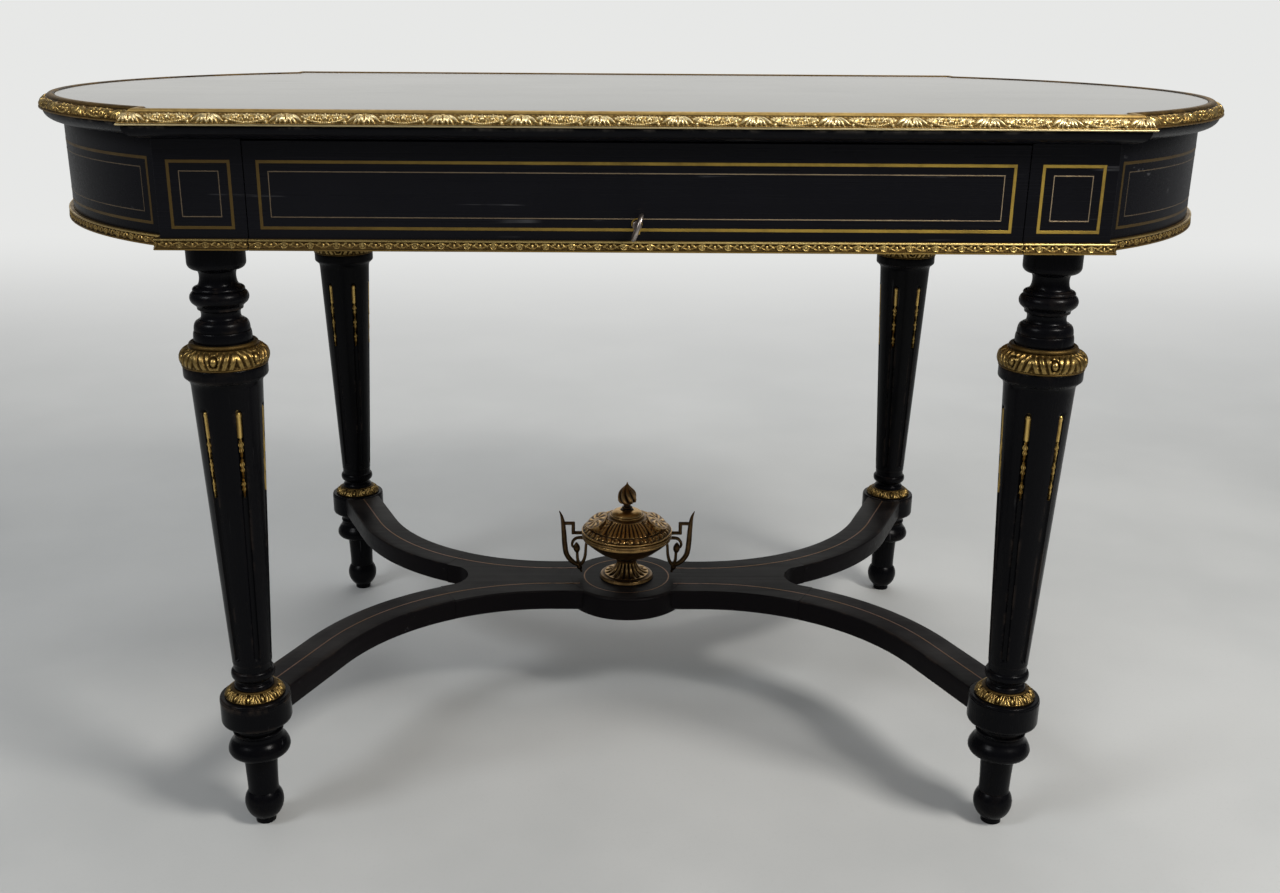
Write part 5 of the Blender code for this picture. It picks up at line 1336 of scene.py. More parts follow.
    def husks(self) -> list[Sheet]:
        """A gilt drop in the head of each flute: a ribbed bar and three husks that get smaller.

        The half width along the drop is a bar's, then the sine of the way along each husk;
        the section is half an ellipse with three ribs.
        """
        way, turn, bar_end = shares(116), around(16), 0.31
        husk = np.clip((way - bar_end) / 0.23, 0.0, 2.999)
        share = husk % 1.0
        waist = 0.72 + 0.28 * np.cos(7 * math.pi * share)
        leaf = np.sin(math.pi * share ** 0.6) ** 1.2 * waist
        petal = (0.0034 - 0.0005 * np.floor(husk)) * (0.14 + 0.86 * leaf)
        round_head = np.sqrt(unit(1 - (1 - way / 0.03) ** 2) + (way > 0.03))
        bar = 0.0027 * round_head * eased(0.312, 0.29, way) + 0.0002
        half = np.where(way < bar_end, bar, petal) * eased(1.0, 0.985, way) + 0.0001
        rise = np.where(way < bar_end, 0.0029, 0.0025 + 0.0008 * share) * eased(0.0, 0.012, way)
        height = self.flute_high + 0.0010 - self.drop * way
        ribs = np.where(way < bar_end, 0.72 + 0.28 * np.cos(CIRCLE * np.cos(turn)) ** 2,
                        0.66 + 0.34 * np.cos(1.5 * math.pi * np.cos(turn)) ** 2)
        floor = self.shaft_radius(height) + self.flute_lift - self.flute_radius
        sine = np.sin(turn)
        lift = rise * np.maximum(sine, 0.0) ** 0.8 * ribs + 0.0008 * np.minimum(sine, 0.0)
        value = unit(0.25 + 0.75 * (ribs - 0.6) / 0.4)
        return [Sheet(xyz(*spun(floor + lift, half * np.cos(turn), angle), height), value).capped()
                for angle in self.turns]

    def build(self) -> None:
        """Make the four legs and what belongs to them."""
        rows = (("fluted_leg_", "leg_", self.leg(), LACQUER_TURNED, "ebonised_wood", 38.0),
                ("turned_foot_", "foot_", self.foot(), LACQUER_TURNED, "ebonised_wood", 38.0),
                ("lobed_collar_", "upper_collar_", self.upper_collar(), GILT_COLLAR, "gilt_brass", 70.0),
                ("leaf_ring_", "lower_collar_", self.lower_collar(), GILT_COLLAR, "gilt_brass", 70.0))
        husks = self.husks()
        for corner, face, side in CORNERS:
            x, y = side.value * self.x, face.value * self.y
            for name, node, sheet, finish, slot, sharp in rows:
                piece = Piece(name + corner, slot, stands_for=(node + corner,), sharp=sharp)
                piece.made([sheet.moved(x, y)], finish)
            Piece("husk_drops_" + corner, "gilt_brass", sharp=60.0).made(
                [husk.moved(x, y) for husk in husks], GILT_HUSK)


@dataclass
class Stretcher:
    """The forked stretcher: a centre board with a round hub, four curved arms and a fine inlaid line."""

    top: float = 0.1490  # height of its top
    thick: float = 0.0245
    half: float = 0.0235  # half the width of an arm
    offset: float = 0.0240  # distance of an arm's middle line from the table's at the hub
    straight: float = 0.090  # distance from the middle where the bend starts
    bend: float = 0.265  # radius of the bend
    splice: float = 28.1  # angle of the bend, in degrees, where an arm is spliced to the board
    notch: float = 24.1  # angle of the fork's tips, in degrees
    notch_depth: float = 0.0118  # depth of the fork's hollow
    cope: float = 0.0358  # radius of the foot block that an arm's end is coped to
    ease: float = 0.0016  # radius of its eased edges
    hub: float = 0.072  # radius of the hub
    hub_low: float = 0.1210  # height of the hub's underside
    line: float = 0.0008  # half the width of the inlaid line
    line_ring: float = 0.052  # radius of the inlaid ring's middle on the hub
    line_start: float = 0.0570  # distance from the middle where the inlaid lines start

    def __post_init__(self) -> None:
        """Work out the underside, and the angle at which the bend runs straight at the leg."""
        legs = Legs()
        self.low = self.top - self.thick
        reach = (legs.x - self.straight, -legs.y + self.offset + self.bend)
        far = math.hypot(*reach)
        self.end_angle = math.pi / 2 - math.atan2(reach[1], reach[0]) - math.acos(self.bend / far)
        self.end_run = math.sqrt(far ** 2 - self.bend ** 2)

    def arm_place(self, angle: Array, run: Array, side: Array) -> Places:
        """Places of the front right arm.

        Args:
            angle, run: Angle of the bend, and distance past its end.
            side: Distance to the outer side of the middle line.
        Returns:
            X and Y: the bend's centre plus its radius less the side distance, then straight on.
        """
        radius = self.bend - side
        x = self.straight + radius * np.sin(angle) + run * math.cos(self.end_angle)
        y = -self.offset - self.bend + radius * np.cos(angle) - run * math.sin(self.end_angle)
        return x, y

    def section(self, half: float, low: float, high: float, ease: float, count: int) -> Array:
        """A rounded rectangle of side distance and height, anticlockwise.

        Args:
            half, low, high: Half its width, and its lower and upper height.
            ease, count: Radius of its edges, and points across it.
        Returns:
            Points as rows of two.
        """
        pen, h, l, t, e = Pen(), *(size / MM for size in (half, low, high, ease))
        return outline(
            pen.line(e - h, l, h - e, l, count), pen.quarter(h - e, l, h, l + e, True, 5),
            pen.line(h, l + e, h, t - e, 4), pen.quarter(h, t - e, h - e, t, False, 5),
            pen.line(h - e, t, e - h, t, count), pen.quarter(e - h, t, -h, t - e, True, 5),
            pen.line(-h, t - e, -h, l + e, 4), pen.quarter(-h, l + e, e - h, l, False, 5))[:-1]

    def arm(self, section: Array, start: float, cope: float) -> Sheet:
        """A section carried from an angle of the bend to the foot block.

        Args:
            section: Side distance and height as rows of two.
            start, cope: The angle, and radius of the hollow at the end.
        Returns:
            The sheet.
        """
        angle, share = np.linspace(start, self.end_angle, 61), shares(18)[1:]
        side, height = section.T
        run = share * (self.end_run - np.sqrt(cope ** 2 - np.clip(side, -0.034, 0.034) ** 2))
        angles = np.append(angle, self.end_angle + 0.0 * share)[:, None]
        runs = np.concatenate([np.zeros((len(angle), len(side))), run])
        value = np.where(height > self.top - 0.9 * self.ease, 0.55, 0.0) * (np.abs(side) > 0.021)
        return Sheet(xyz(*self.arm_place(angles, runs, side), height), value).capped()

    def fork_plan(self) -> Places:
        """X and Y of half the centre board, from the middle to its fork.

        A grid between four edges: each point adds what the two side edges and the two end
        edges give at its place, less what the four corners give.
        """
        splice, mirror = math.radians(self.splice), np.array([1.0, -1.0])
        along = np.linspace(0.0, 1.0, 49)
        start = self.straight / (self.straight + splice * self.bend)
        edge_x, edge_y = self.arm_place(unit((along - start) / (1.0 - start)) * splice, 0.0, self.half)
        edge_x = np.where(along < start, self.straight * along / start, edge_x)
        outer, inner = self.arm_place(splice, 0.0, self.half), self.arm_place(splice, 0.0, -self.half)
        tip = self.arm_place(math.radians(self.notch), 0.0, -self.half)
        radius = (tip[1] ** 2 + self.notch_depth ** 2) / (2 * self.notch_depth)
        swing = np.linspace(-math.asin(-tip[1] / radius), 0.0, 11)
        sunk = tip[0] - self.notch_depth + radius * (1 - np.cos(swing))
        hollow = np.stack([sunk, radius * np.sin(swing)], axis=1)
        half_end = np.concatenate([np.linspace(outer, inner, 9), np.linspace(inner, tip, 6)[1:], hollow[1:]])
        end = np.concatenate([half_end, (half_end * mirror)[::-1][1:]])
        across = np.linspace(-1.0, 1.0, len(end))
        u, v = along[:, None, None], (across[None, :, None] + 1) / 2
        middle = np.stack([0.0 * across, across * -edge_y[0]], axis=1)
        near = np.stack([edge_x, edge_y], axis=1)
        far = near * mirror
        grid = ((1 - u) * middle + u * end + (1 - v) * near[:, None] + v * far[:, None]
                - (1 - u) * ((1 - v) * near[0] + v * far[0]) - u * ((1 - v) * near[-1] + v * far[-1]))
        return grid[..., 0], grid[..., 1]

    def fork(self) -> Sheet:
        """Half the centre board: its plan at the top and the underside, with eased edges between."""
        x, y = self.fork_plan()
        count, ease = x.shape[1], self.ease
        level = y.copy()
        level[:, 0] += ease
        level[:, -1] -= ease
        rings_x = np.concatenate([x, x[:, -1:], x[:, -1:], x[:, ::-1], x[:, :1], x[:, :1]], axis=1)
        rings_y = np.concatenate([level, y[:, -1:], y[:, -1:], level[:, ::-1], y[:, :1], y[:, :1]], axis=1)
        z = np.concatenate([np.full(count, self.top), [self.top - ease, self.low + ease],
                            np.full(count, self.low), [self.low + ease, self.top - ease]])
        points = xyz(rings_x, rings_y, z)
        closing = points[[0, -1]].copy()
        closing[..., 2] = (self.top + self.low) / 2
        return Sheet(np.concatenate([closing[:1], points, closing[1:]]), 0.0)

    def hub_sheet(self) -> Sheet:
        """The hub: a turned disc with a rounded upper edge."""
        pen, r, high = Pen(0.0, self.hub_low), self.hub / MM, (self.top - self.hub_low) / MM + 0.2
        return turned(outline(
            pen.line(1, 0, r - 2, 0, 3), pen.quarter(r - 2, 0, r, 2, True, 5),
            pen.line(r, 2, r, high - 4.5, 4), pen.quarter(r, high - 4.5, r - 4.5, high, False, 9),
            pen.line(r - 4.5, high, 1, high, 4)), 160)

    def make_inlay(self) -> None:
        """The inlaid line: one along each arm and over the hub's edge to a ring on the hub."""
        fine = self.section(self.line, self.top - 0.0006, self.top + 0.00012, 0.0001, 2)
        along_arm = self.arm(fine, 0.0, self.cope + 0.0006)
        run = np.linspace(self.line_start, self.straight, 8)[:, None]
        over_hub = 0.00022 * (run < self.hub + 0.002)
        leader = Sheet(xyz(run, -self.offset - fine[:, 0], fine[:, 1] + over_hub), 0.6).capped()
        pen = Pen(self.line_ring, self.top)
        square = np.concatenate([pen.line(-0.7, -0.4, 0.7, -0.4), pen.line(0.7, 0.28, -0.7, 0.28)])
        lines = [sheet.flipped(side.value, -face.value)
                 for _, face, side in CORNERS for sheet in (along_arm, leader)]
        lines.append(turned(square, 160, ring=True))
        for sheet in lines:
            sheet.relief[:] = 0.6
        Piece("stretcher_inlay", "gilt_brass").made(lines, COPPER_LINE)

    def build(self) -> None:
        """Make the centre board, the arms and the inlaid line."""
        fork = self.fork()
        Piece("stretcher_board", "ebonised_wood", stands_for=("stretcher_centre",), sharp=32.0).made(
            [fork, fork.flipped(-1.0, 1.0), self.hub_sheet()], LACQUER_STRETCHER)
        start = math.radians(self.splice) + CLEARANCE / self.bend
        arm = self.arm(self.section(self.half, self.low, self.top, self.ease, 7), start, self.cope)
        for corner, face, side in CORNERS:
            name = "stretcher_arm_" + corner
            Piece(name + "_curved", "ebonised_wood", stands_for=(name,), sharp=32.0).made(
                [arm.flipped(side.value, -face.value)], LACQUER_STRETCHER)
        self.make_inlay()


@dataclass
class Urn:
    """The lidded urn on the hub: foot, bowl, lid, flame finial and two handles."""

    base: float = 0.1493  # height of its base
    bowl_foot: float = 0.1726
    lid_foot: float = 0.2089
    finial_foot: float = 0.2382
    ribs: int = 16  # round the foot
    lobes: int = 52  # round the lid
    dull: float = 0.78  # share of the relief value that is left on the foot

    def foot(self) -> Sheet:
        """A plain round base and a trumpet stem with leaf ribs that open towards the base."""
        pen, columns = Pen(0.0, self.base), 224
        flare, share = pen.quarter(26.8, 5.8, 11.9, 21.3, True, 26), shares(26)
        ribs = np.abs(np.cos(self.ribs / 2 * around(columns))) ** 0.7
        leaf = 1.0 - (1.0 - ribs) * eased(0.0, 0.16 + 0.16 * ribs, share) * eased(1.02, 0.86, share)
        sheet = chased([
            Run(pen.line(1, 0, 32.2, 0, 3), 0.2), Run(pen.quarter(32.3, 0, 33, 0.8, True, 4), 0.5),
            Run(pen.line(33, 0.9, 32.2, 2.6, 5), 0.9), Run(pen.quarter(32.1, 2.8, 29.6, 4.2, False, 6), 0.8),
            Run(pen.line(29, 4.3, 26.8, 5.2, 4), 0.45), Run(flare, leaf, leaf),
            Run(pen.bead(12.2, 21.6, 12.2, 24, 1.2, 8), 0.5), Run(pen.line(12.2, 24.1, 12.2, 25.6), 0.15),
            Run(pen.line(11, 25.6, 1, 25.6), 0.1)], 0.0030, columns)
        sheet.relief *= self.dull
        return sheet

    def bowl(self) -> Sheet:
        """A shallow bowl, dark below, with a bright band under its rim."""
        pen, columns = Pen(0.0, self.bowl_foot), 160
        under = pen.smooth([(12.6, 2.8), (21.5, 5.4), (33.2, 10.8), (44, 19), (52, 26.2)], 8)
        share = shares(len(under))
        lobes = 0.5 - 0.5 * np.cos(20 * around(columns))
        lobed = 1.0 - 0.35 * lobes * eased(0.02, 0.2, share) * eased(0.75, 0.55, share)
        return chased([
            Run(pen.line(1, 2.8, 12.4, 2.8), 0.1), Run(under, 0.10 + 0.30 * eased(0.0, 0.9, share), lobed),
            Run(pen.line(52.6, 26.8, 52.8, 27.4), 0.2), Run(pen.bead(53.2, 27.6, 54.4, 31.8, 1.1, 8), 0.75),
            Run(pen.line(54.5, 32.2, 54.7, 32.5), 0.3), Run(pen.bead(54.9, 32.6, 54.6, 35.2, 0.6, 6), 0.7),
            Run(pen.line(54, 35.6, 52.8, 36, 3), 0.5), Run(pen.line(50, 36, 1, 36, 3), 0.1)], 0.0014, columns)

    def garland(self, turn: Array, band: Array) -> Array:
        """Heights of the lid's leafy rim: leaning leaves, with a berry over every second."""
        wave = (turn * 18 / math.pi + 0.55 * np.abs(band - 0.5)) % 1.0
        leaves = 0.25 + 0.75 * np.sin(math.pi * wave) ** 0.8 * np.sin(math.pi * (0.08 + 0.84 * band)) ** 0.5
        berries = hump(turn * 9 / math.pi % 1.0 - 0.5, 0.13) * hump(band - 0.5, 0.26)
        return unit(np.maximum(leaves * (1 - berries), berries))

    def crown(self, turn: Array, share: Array) -> Array:
        """Heights of the lid's slope: radial lobes, and chased ground beside a drape at both sides."""
        lobes = np.abs(np.cos(self.lobes / 2 * turn)) ** 0.6
        heads = eased(0.0, 0.10 + 0.10 * lobes, share) * eased(1.0, 0.90, share)
        off_side = np.abs((turn + math.pi / 2) % math.pi - math.pi / 2)
        plate = eased(0.86, 0.72, off_side)
        drape = hump(off_side - 0.80 - 0.20 * (1 - share), 0.035)
        lobed = 1.0 - (1.0 - lobes) * heads * (1 - plate)
        ground = 0.75 + 0.25 * np.sin(9 * turn + 22 * share) * np.sin(31 * turn - 9 * share)
        return unit(lobed * (1 - plate) + ground * plate - 0.6 * drape)

    def lid(self) -> Sheet:
        """A lid with a leafy rim, radial lobes and a small ringed dome."""
        pen, columns = Pen(0.0, self.lid_foot), 336
        leaves, crown = self.garland(around(columns), shares(12)), self.crown(around(columns), shares(30))
        return chased([
            Run(pen.line(1, 0, 53.8, 0, 3), 0.1), Run(pen.quarter(54, 0, 55.2, 1, True, 5), 0.75),
            Run(pen.quarter(55.2, 1.1, 54.4, 2.2, False, 4), 0.9), Run(pen.line(53.8, 2.3, 53.4, 2.6), 0.2),
            Run(pen.bead(53.2, 2.7, 47.8, 7.2, 0.7, 12), leaves, leaves),
            Run(pen.line(47.2, 7.4, 46.8, 7.8), 0.2),
            Run(pen.bead(46.4, 8, 26.2, 18.4, 1.6, 30), crown, crown),
            Run(pen.bead(25.4, 18.8, 21.2, 20.2, -0.6, 6), 0.6),
            Run(pen.bead(21, 20.3, 20, 22, 0.7, 7), 0.75), Run(pen.line(19.2, 22.1, 19, 22.2), 0.2),
            Run(pen.quarter(18.8, 22.4, 8.6, 27.6, False, 12), 0.85),
            Run(pen.line(8, 27.8, 7.4, 29, 3), 0.4), Run(pen.line(6.6, 29, 1, 29), 0.2)], 0.0021, columns)

    def plate(self) -> Sheet:
        """A scalloped shell plate on the right side of the lid.

        An oval over the lid's slope: the height is a low dome with a raised scalloped border,
        fanned ribs and two small eyes; it is closed below inside the lid.
        """
        reach, turn = np.append(np.linspace(0.04, 1.0, 22), 1.0)[:, None], around(96)
        scallop = 1.0 + 0.06 * np.abs(np.cos(4.5 * turn)) * (np.cos(turn) > 0)
        dome = 0.0009 * (1 - reach ** 4) + 0.0004 * hump(reach - 0.80, 0.07)
        fan = 0.0004 * np.cos(9 * turn + 4.0 * reach) * eased(0.15, 0.45, reach) * eased(0.98, 0.70, reach)
        up, over = reach * np.cos(turn), reach * np.sin(turn)
        eyes = -0.0018 * hump(np.abs(over) - 0.36, 0.10) * hump(up - 0.10, 0.10)
        height = dome + fan + eyes
        height[-1] = -0.0040
        slope, normal = np.array([-0.889, 0.0, 0.458]), np.array([0.458, 0.0, 0.889])
        middle, along = np.array([0.0372, 0.0, self.lid_foot + 0.0134]), np.array([0.0, 0.0235, 0.0])
        points = (middle + slope * (0.0140 * scallop * up)[..., None] + along * (scallop * over)[..., None]
                  + normal * height[..., None])
        return Sheet(points, np.clip(0.70 + 700.0 * fan + 330.0 * eyes, 0.12, 1.0)).capped()

    def finial(self) -> Sheet:
        """A flame finial: a turned neck and a bud with twisted hollows that lean as they rise."""
        pen, columns = Pen(0.0, self.finial_foot), 120
        flame = pen.smooth([(6.4, 7.2), (10, 8.2), (11.7, 11.2), (11.7, 16), (10.3, 21), (7.2, 25.2),
                            (3.6, 28.4), (1.6, 30.6), (0.6, 33.4)], 7)
        share = shares(len(flame))
        twist = np.abs(np.cos(4 * around(columns) + 5.2 * share)) ** 0.7
        licks = 1.0 - (1.0 - twist) * eased(0.0, 0.15, share) * unit(flame[:, :1] / 0.0116) ** 1.2
        return chased([
            Run(pen.line(1, 0, 5, 0), 0.2), Run(pen.quarter(5.2, 0, 5.8, 0.8, True, 4), 0.5),
            Run(pen.bead(5.8, 0.8, 5.4, 2.6, 0.6, 6), 0.6), Run(pen.bead(4.4, 2.8, 4.4, 5.6, -0.4, 7), 0.25),
            Run(pen.bead(5, 5.7, 5, 7.1, 0.8, 6), 0.6), Run(flame, licks, licks)], 0.0030, columns)

    def bar(self, knots: list[Pair], radii: list[float], smooth: int = 12) -> Sheet:
        """A round bar in the plane through the urn's axis.

        Args:
            knots, radii: Distances from the axis with rises above the base, and radii, in millimetres.
            smooth: Points in each stretch between two knots.
        Returns:
            The sheet: the middle line plus the radius times a circle across its way.
        """
        line, turn = Pen(0.0, self.base).smooth(knots, smooth), around(14)[None, :]
        way = np.gradient(line, axis=0)
        way /= np.hypot(*way.T)[:, None]
        places = np.linspace(0.0, len(radii) - 1.0, len(line))
        radius = MM * np.interp(places, np.arange(len(radii)), radii)[:, None]
        x = line[:, :1] - radius * way[:, 1:] * np.cos(turn)
        z = line[:, 1:] + radius * way[:, :1] * np.cos(turn)
        return Sheet(xyz(x, radius * np.sin(turn), z), 0.6).capped()

    def handle(self) -> list[Sheet]:
        """The right handle: a tall post, a drop, a loop, a bud on a stem, a hook and a stepped bracket."""
        curved = (
            ([(82.4, 85), (79.6, 78), (78, 69), (77, 56.6), (76.2, 43), (74.4, 30), (70, 22), (64.5, 17),
              (59.2, 14.5)], [0.6, 1.8, 2.7, 3.1, 3.3, 3.3, 3.2, 2.9, 2.5]),
            ([(60.6, 16.5), (59, 13.8), (57.6, 10.8), (56.2, 7.4), (55.2, 4.4)],
             [1.2, 3.4, 2.8, 3.6, 3.0, 1.4, 1.9, 0.5]),
            ([(58, 13.5), (54.6, 17), (52, 22.5), (50.6, 30), (50.2, 38), (49.4, 44)], [2.3, 2.1, 1.8, 1.7]),
            ([(57.2, 13), (60, 20), (60.7, 27), (60.8, 33)], [2.3, 1.9, 1.7]),
            ([(60.8, 30), (61.2, 34.5), (61.6, 39.5), (61.8, 44)], [1.4, 3.0, 4.0, 4.3, 3.8, 2.5, 0.8]),
            ([(53.5, 50), (57.5, 50.2), (62.5, 49.2), (66.2, 45), (66.8, 39.5), (64, 36)],
             [2.2, 2.1, 1.9, 1.7, 1.0]))
        steps = [(77.5, 69), (64, 69)], [(65.5, 70.5), (65.5, 55.1)], [(67, 56.6), (52.2, 56.6)]
        return [self.bar(*bar) for bar in curved] + [self.bar(step, [2.2, 2.2], 4) for step in steps]

    def build(self) -> None:
        """Make the urn's pieces."""
        plates = [self.plate().flipped(side.value, 1.0) for side in Side]
        handles = [(f"scroll_handle_{side.word}", f"urn_handle_{side.word}",
                    [bar.flipped(side.value, 1.0) for bar in self.handle()], BRONZE_DARK) for side in Side]
        for name, node, sheets, finish in (
                ("ribbed_foot", "urn_foot", [self.foot()], BRONZE),
                ("shallow_bowl", "urn_bowl", [self.bowl()], BRONZE),
                ("lobed_lid", "urn_lid", [self.lid(), *plates], BRONZE),
                ("flame_finial", "urn_finial", [self.finial()], BRONZE_DARK), *handles):
            Piece(name, "dark_gilt_bronze", stands_for=(node,), sharp=65.0).made(sheets, finish)


@dataclass
class Drawer:
    """The drawer with its lock, bolt and key."""

    front: float = -0.337  # Y of the drawer front's face
    key_height: float = 0.633  # height of the key's axis
    hole: float = 0.0037  # radius of the keyhole
    slot: float = 0.0018  # half the width of the keyhole's slot
    slot_foot: float = 0.6247  # height of the slot's foot
    liner: float = 0.0012  # width of the brass round the keyhole
    key_end: float = -0.3080  # Y of the key's inner end
    shank: float = 2.9  # radius of the key's shank, in millimetres
    pipe: float = 1.6  # radius of the bore in its end, in millimetres
    bow_y: float = -0.36025  # Y of the bow's middle
    bow: Pair = (0.0095, 0.0112)  # half the length and height of the bow's middle line
    wire: float = 0.0019  # radius of the bow's wire
    tilt: float = 19.0  # turn of the key about its axis, in degrees

    def keyhole(self) -> Array:
        """Outline of the keyhole in X and height, anticlockwise from the foot of its slot."""
        open_half = math.asin(self.slot / self.hole)
        turn = np.linspace(open_half - math.pi / 2, 1.5 * math.pi - open_half, 40)
        circle = np.stack([self.hole * np.cos(turn), self.key_height + self.hole * np.sin(turn)], axis=1)
        left, right = (-self.slot, self.slot_foot), (self.slot, self.slot_foot)
        return outline(np.linspace(left, right, 5), np.linspace(right, circle[0], 7), circle,
                       np.linspace(circle[-1], left, 7))[:-1]

    def liner_sheet(self) -> Sheet:
        """A brass thread let into the face round the keyhole, its outer side the outline moved out."""
        inner = self.keyhole()
        outer = inner + self.liner * outward(inner, True)
        proud, sunk = self.front - 0.0002, self.front + 0.0008
        crest = ((inner + outer) / 2, proud - 0.00015)
        rows = [(inner, sunk), (inner, proud), crest, (outer, proud), (outer, sunk)]
        return Sheet(np.stack([xyz(flat[:, 0], y, flat[:, 1]) for flat, y in rows]), 0.7, True)

    def key_shank(self) -> Sheet:
        """The key's bored shank with its rings, turned about the Y axis."""
        pen, shank, bore = Pen(0.0, self.key_end), self.shank, self.pipe
        stop = (self.bow_y + self.bow[0] - 0.4 * self.wire - self.key_end) / MM
        profile = outline(
            pen.line(0.2, -13.8, bore, -14), pen.line(bore, -13.5, bore, 0, 3),
            pen.line(bore, 0, shank - 0.2, 0), pen.line(shank, -0.2, shank, -34.9, 12),
            pen.bead(shank, -35.1, shank, -37.1, -0.7, 6),
            pen.bead(3.3, -37.5, 3.3, -40.5, -1, 9), pen.line(shank - 0.3, -40.6, 2.2, stop, 3),
            pen.line(2, stop, 0.2, stop))
        turn, radius = around(40), profile[:, :1]
        return Sheet(xyz(radius * np.cos(turn), profile[:, 1:], radius * np.sin(turn)), 0.55).capped()

    def key_bow(self) -> Sheet:
        """The key's bow: a ring of wire, pinched to the shape of a small heart."""
        turn, small = around(72)[:, None], around(16)[None, :]
        pinch = 1.0 - 0.10 * np.sin(turn) - 0.10 * np.cos(2 * turn)
        reach = self.wire * np.cos(small)
        y = self.bow_y + (self.bow[0] + reach) * np.cos(turn)
        z = (self.bow[1] + reach / pinch) * np.sin(turn)
        return Sheet(xyz(self.wire * np.sin(small), y, z), 0.45 + 0.35 * np.cos(small), True)

    def key(self) -> list[Sheet]:
        """The key, tilted in its keyhole: shank, bow and bit."""
        low, far = -0.0075, 0.0010
        tall = np.array([(-far, -0.0022), (far, -0.0022), (far, low + 0.0004), (far * 0.6, low),
                         (-far * 0.6, low), (-far, low + 0.0004)])
        bit = [xyz(tall[:, 0], self.key_end - depth, tall[:, 1]) for depth in (0.0040, 0.0030, 0.0010, 0.0)]
        c, s = math.cos(math.radians(self.tilt)), math.sin(math.radians(self.tilt))
        tilted = np.array([[c, 0.0, -s], [0.0, 1.0, 0.0], [s, 0.0, c]])
        return [Sheet(sheet.points @ tilted + [0.0, 0.0, self.key_height], sheet.relief, sheet.ring)
                for sheet in (self.key_shank(), self.key_bow(), Sheet(np.stack(bit), 0.5).capped())]

    def build(self) -> None:
        """Dress the drawer's boards and its lock, and make the liner and the key."""
        dressed("drawer_front", LACQUER, 0.0005)
        for side in Side:
            dressed("drawer_side_" + side.word, WOOD_DEEP, 0.0006)
        dressed("drawer_back", WOOD_LONG, 0.0006)
        dressed("drawer_bottom", WOOD_LONG, 0.0003)
        dressed("lock_case", STEEL, 0.0003)
        dressed("lock_bolt", STEEL, 0.0002)
        Piece("keyhole_thread", "gilt_brass", "drawer").made([self.liner_sheet()], STRINGING)
        Piece("pipe_key", "lock_steel", "key", ("key",), 50.0).made(self.key(), STEEL_OLD)


PARTS = [TableTop(), Frieze(), Legs(), Stretcher(), Urn(), Drawer()]


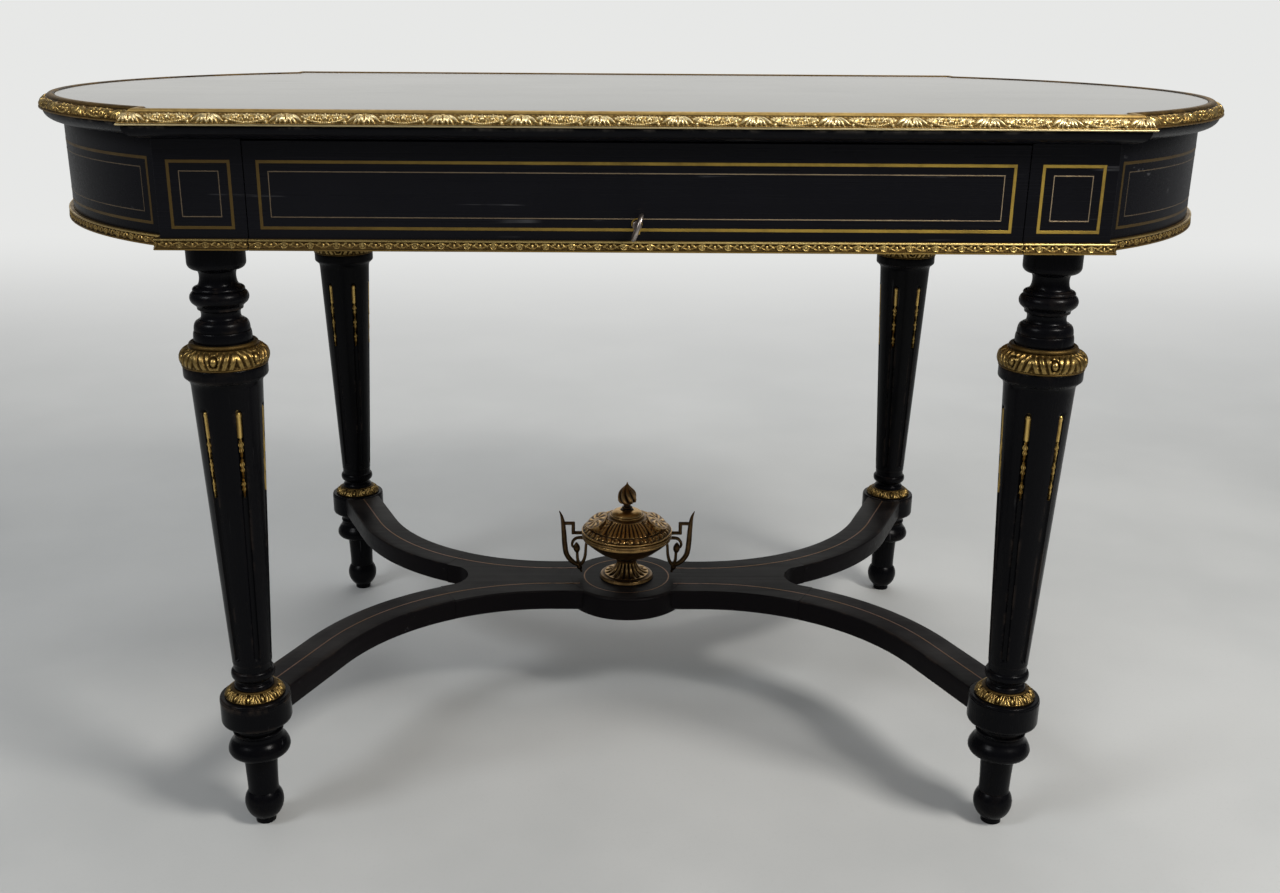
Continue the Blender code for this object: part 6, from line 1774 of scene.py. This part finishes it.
@dataclass
class Studio:
    """Pale floor, soft lamps and the camera at the photograph's place."""

    picture: Pair = (1280.0, 893.0)  # in pixels
    focal: float = 1359.2  # in pixels
    middle: Pair = (617.0, 478.7)  # pixel where the camera's axis meets the picture
    spot: Colour = (-0.0290, -1.5512, 0.8157)  # place of the camera
    yaw: float = 0.61  # turn to the right, in degrees
    pitch: float = 19.18  # turn downward, in degrees
    roll: float = 0.41  # turn about its axis, in degrees
    backdrop: Colour = (0.80, 0.805, 0.795)
    mirrored: Colour = (0.24, 0.242, 0.24)  # the far floor as mirrors show it
    aim: Colour = (0.0, 0.0, 0.45)  # where the lamps point

    def hang(self, name: str, data: bpy.types.ID, right: Array, up: Array, spot: Colour) -> bpy.types.Object:
        """Put a camera or lamp in its place.

        Args:
            name, data: Its name, and what it is.
            right, up, spot: Its directions and its place.
        Returns:
            The object.
        """
        place = np.eye(4)
        place[:3] = np.stack([right, up, np.cross(right, up), spot], axis=1)
        item = linked(name, data)
        item.matrix_world = Matrix(place.tolist())
        return item

    def set_camera(self) -> None:
        """Make the camera from its right and up directions."""
        yaw, pitch, roll = (math.radians(a) for a in (self.yaw, self.pitch, self.roll))
        ahead = np.array([math.sin(yaw) * math.cos(pitch), math.cos(yaw) * math.cos(pitch), -math.sin(pitch)])
        level = np.array([math.cos(yaw), -math.sin(yaw), 0.0])
        upward = np.cross(level, ahead)
        data = bpy.data.cameras.new("camera")
        width, height = self.picture
        data.sensor_fit, data.sensor_width = "HORIZONTAL", 36.0
        data.lens = data.sensor_width * self.focal / width
        data.shift_x = (width / 2 - self.middle[0]) / width
        data.shift_y = (self.middle[1] - height / 2) / width
        data.clip_start, data.clip_end = 0.05, 100.0
        right = level * math.cos(roll) + upward * math.sin(roll)
        up = upward * math.cos(roll) - level * math.sin(roll)
        bpy.context.scene.camera = self.hang("camera", data, right, up, self.spot)

    def lay_floor(self) -> None:
        """A pale painted floor, a disc that fades into the background behind the table."""
        turn = around(96)
        ring = xyz(40.0 * np.cos(turn), 40.0 * np.sin(turn), 0.0)
        mesh = bpy.data.meshes.new("floor")
        mesh.from_pydata(ring.tolist(), [], [list(range(len(ring)))])
        material, shade, shader = blank("pale_floor")
        place = shade.place()
        cloud, speck = shade.noise(place, 2.2, 4.0, 0.55), shade.noise(place, 240.0, 2.0)
        paint = shade.mixed(shade.span(cloud, 0.3, 0.7), (0.43, 0.437, 0.43), (0.49, 0.495, 0.485))
        grain = shade.mixed(shade.span(speck, 0.55, 0.8, 0.0, 0.25), paint, (0.40, 0.41, 0.40))
        shade.feed(shader, {"Base Color": grain, "Roughness": shade.span(cloud, 0.3, 0.7, 0.55, 0.7),
                            "Normal": shade.bump(speck, 0.15, 0.0004), "Specular IOR Level": 0.3})
        x, y, _ = shade.parts(place)
        away = shade.calc("ADD", shade.times(x, x), shade.times(y, y))
        fade = shade.calc("MAXIMUM", shade.span(y, 0.3, 3.6), shade.span(away, 4.0, 26.0))
        glossy = shade.node("ShaderNodeLightPath", {}).outputs["Is Glossy Ray"]
        distant = shade.mixed(glossy, self.backdrop, self.mirrored)
        haze = shade.node("ShaderNodeEmission", {"Color": distant}).outputs[0]
        blend = shade.node("ShaderNodeMixShader", {0: fade, 1: shader.outputs[0], 2: haze}).outputs[0]
        shade.feed(material.node_tree.nodes["Material Output"], {"Surface": blend})
        mesh.materials.append(material)
        linked("floor", mesh)

    def add_lamp(self, name: str, spot: Colour, size: float, power: float, colour: Colour) -> None:
        """Hang one soft lamp that points at the table.

        Args:
            name, spot: Its name and place.
            size: Side of its square.
            power, colour: Its power in watts, and its colour.
        """
        data = bpy.data.lights.new(name, "AREA")
        data.shape, data.size, data.energy, data.color = "SQUARE", size, power, colour
        back = np.array(spot) - np.array(self.aim)
        right = np.cross([0.0, 0.0, 1.0], back)
        back, right = back / np.linalg.norm(back), right / np.linalg.norm(right)
        self.hang(name, data, right, np.cross(back, right), spot)

    def set_world(self) -> None:
        """A pale background, seen by the camera and in reflections, and a softer fill light."""
        world = bpy.data.worlds.new("studio")
        world.use_nodes = True
        bpy.context.scene.world = world
        shade = Shade(world.node_tree)
        path = shade.node("ShaderNodeLightPath", {}).outputs
        way = shade.node("ShaderNodeTexCoord", {}).outputs["Generated"]
        behind = shade.span(shade.parts(way)[1], 0.70, 0.88)
        room = shade.mixed(behind, (0.10, 0.102, 0.108), (0.76, 0.757, 0.73))
        seen = shade.calc("MAXIMUM", path["Is Glossy Ray"], path["Is Transmission Ray"])
        fill = shade.mixed(seen, (0.34, 0.35, 0.36), room)
        shown = shade.mixed(path["Is Camera Ray"], fill, self.backdrop)
        shade.feed(world.node_tree.nodes["Background"], {"Color": shown})

    def build(self) -> None:
        """Set camera, floor, lamps and background."""
        self.set_camera()
        self.lay_floor()
        self.set_world()
        self.add_lamp("key_lamp", (1.7, -1.5, 2.6), 0.75, 76.0, (1.0, 0.97, 0.93))
        self.add_lamp("fill_lamp", (-2.0, -1.5, 2.4), 0.85, 31.0, (0.95, 0.97, 1.0))
        self.add_lamp("top_lamp", (0.2, 1.2, 3.0), 2.4, 40.0, (1.0, 1.0, 1.0))
        bpy.context.scene.view_settings.view_transform = "Standard"


def main() -> None:
    """Build every sub-assembly."""
    logging.basicConfig(level=logging.INFO)
    Studio().build()
    for part in PARTS:
        part.build()
        LOG.info("%s done", type(part).__name__)


if __name__ == "__main__":
    main()
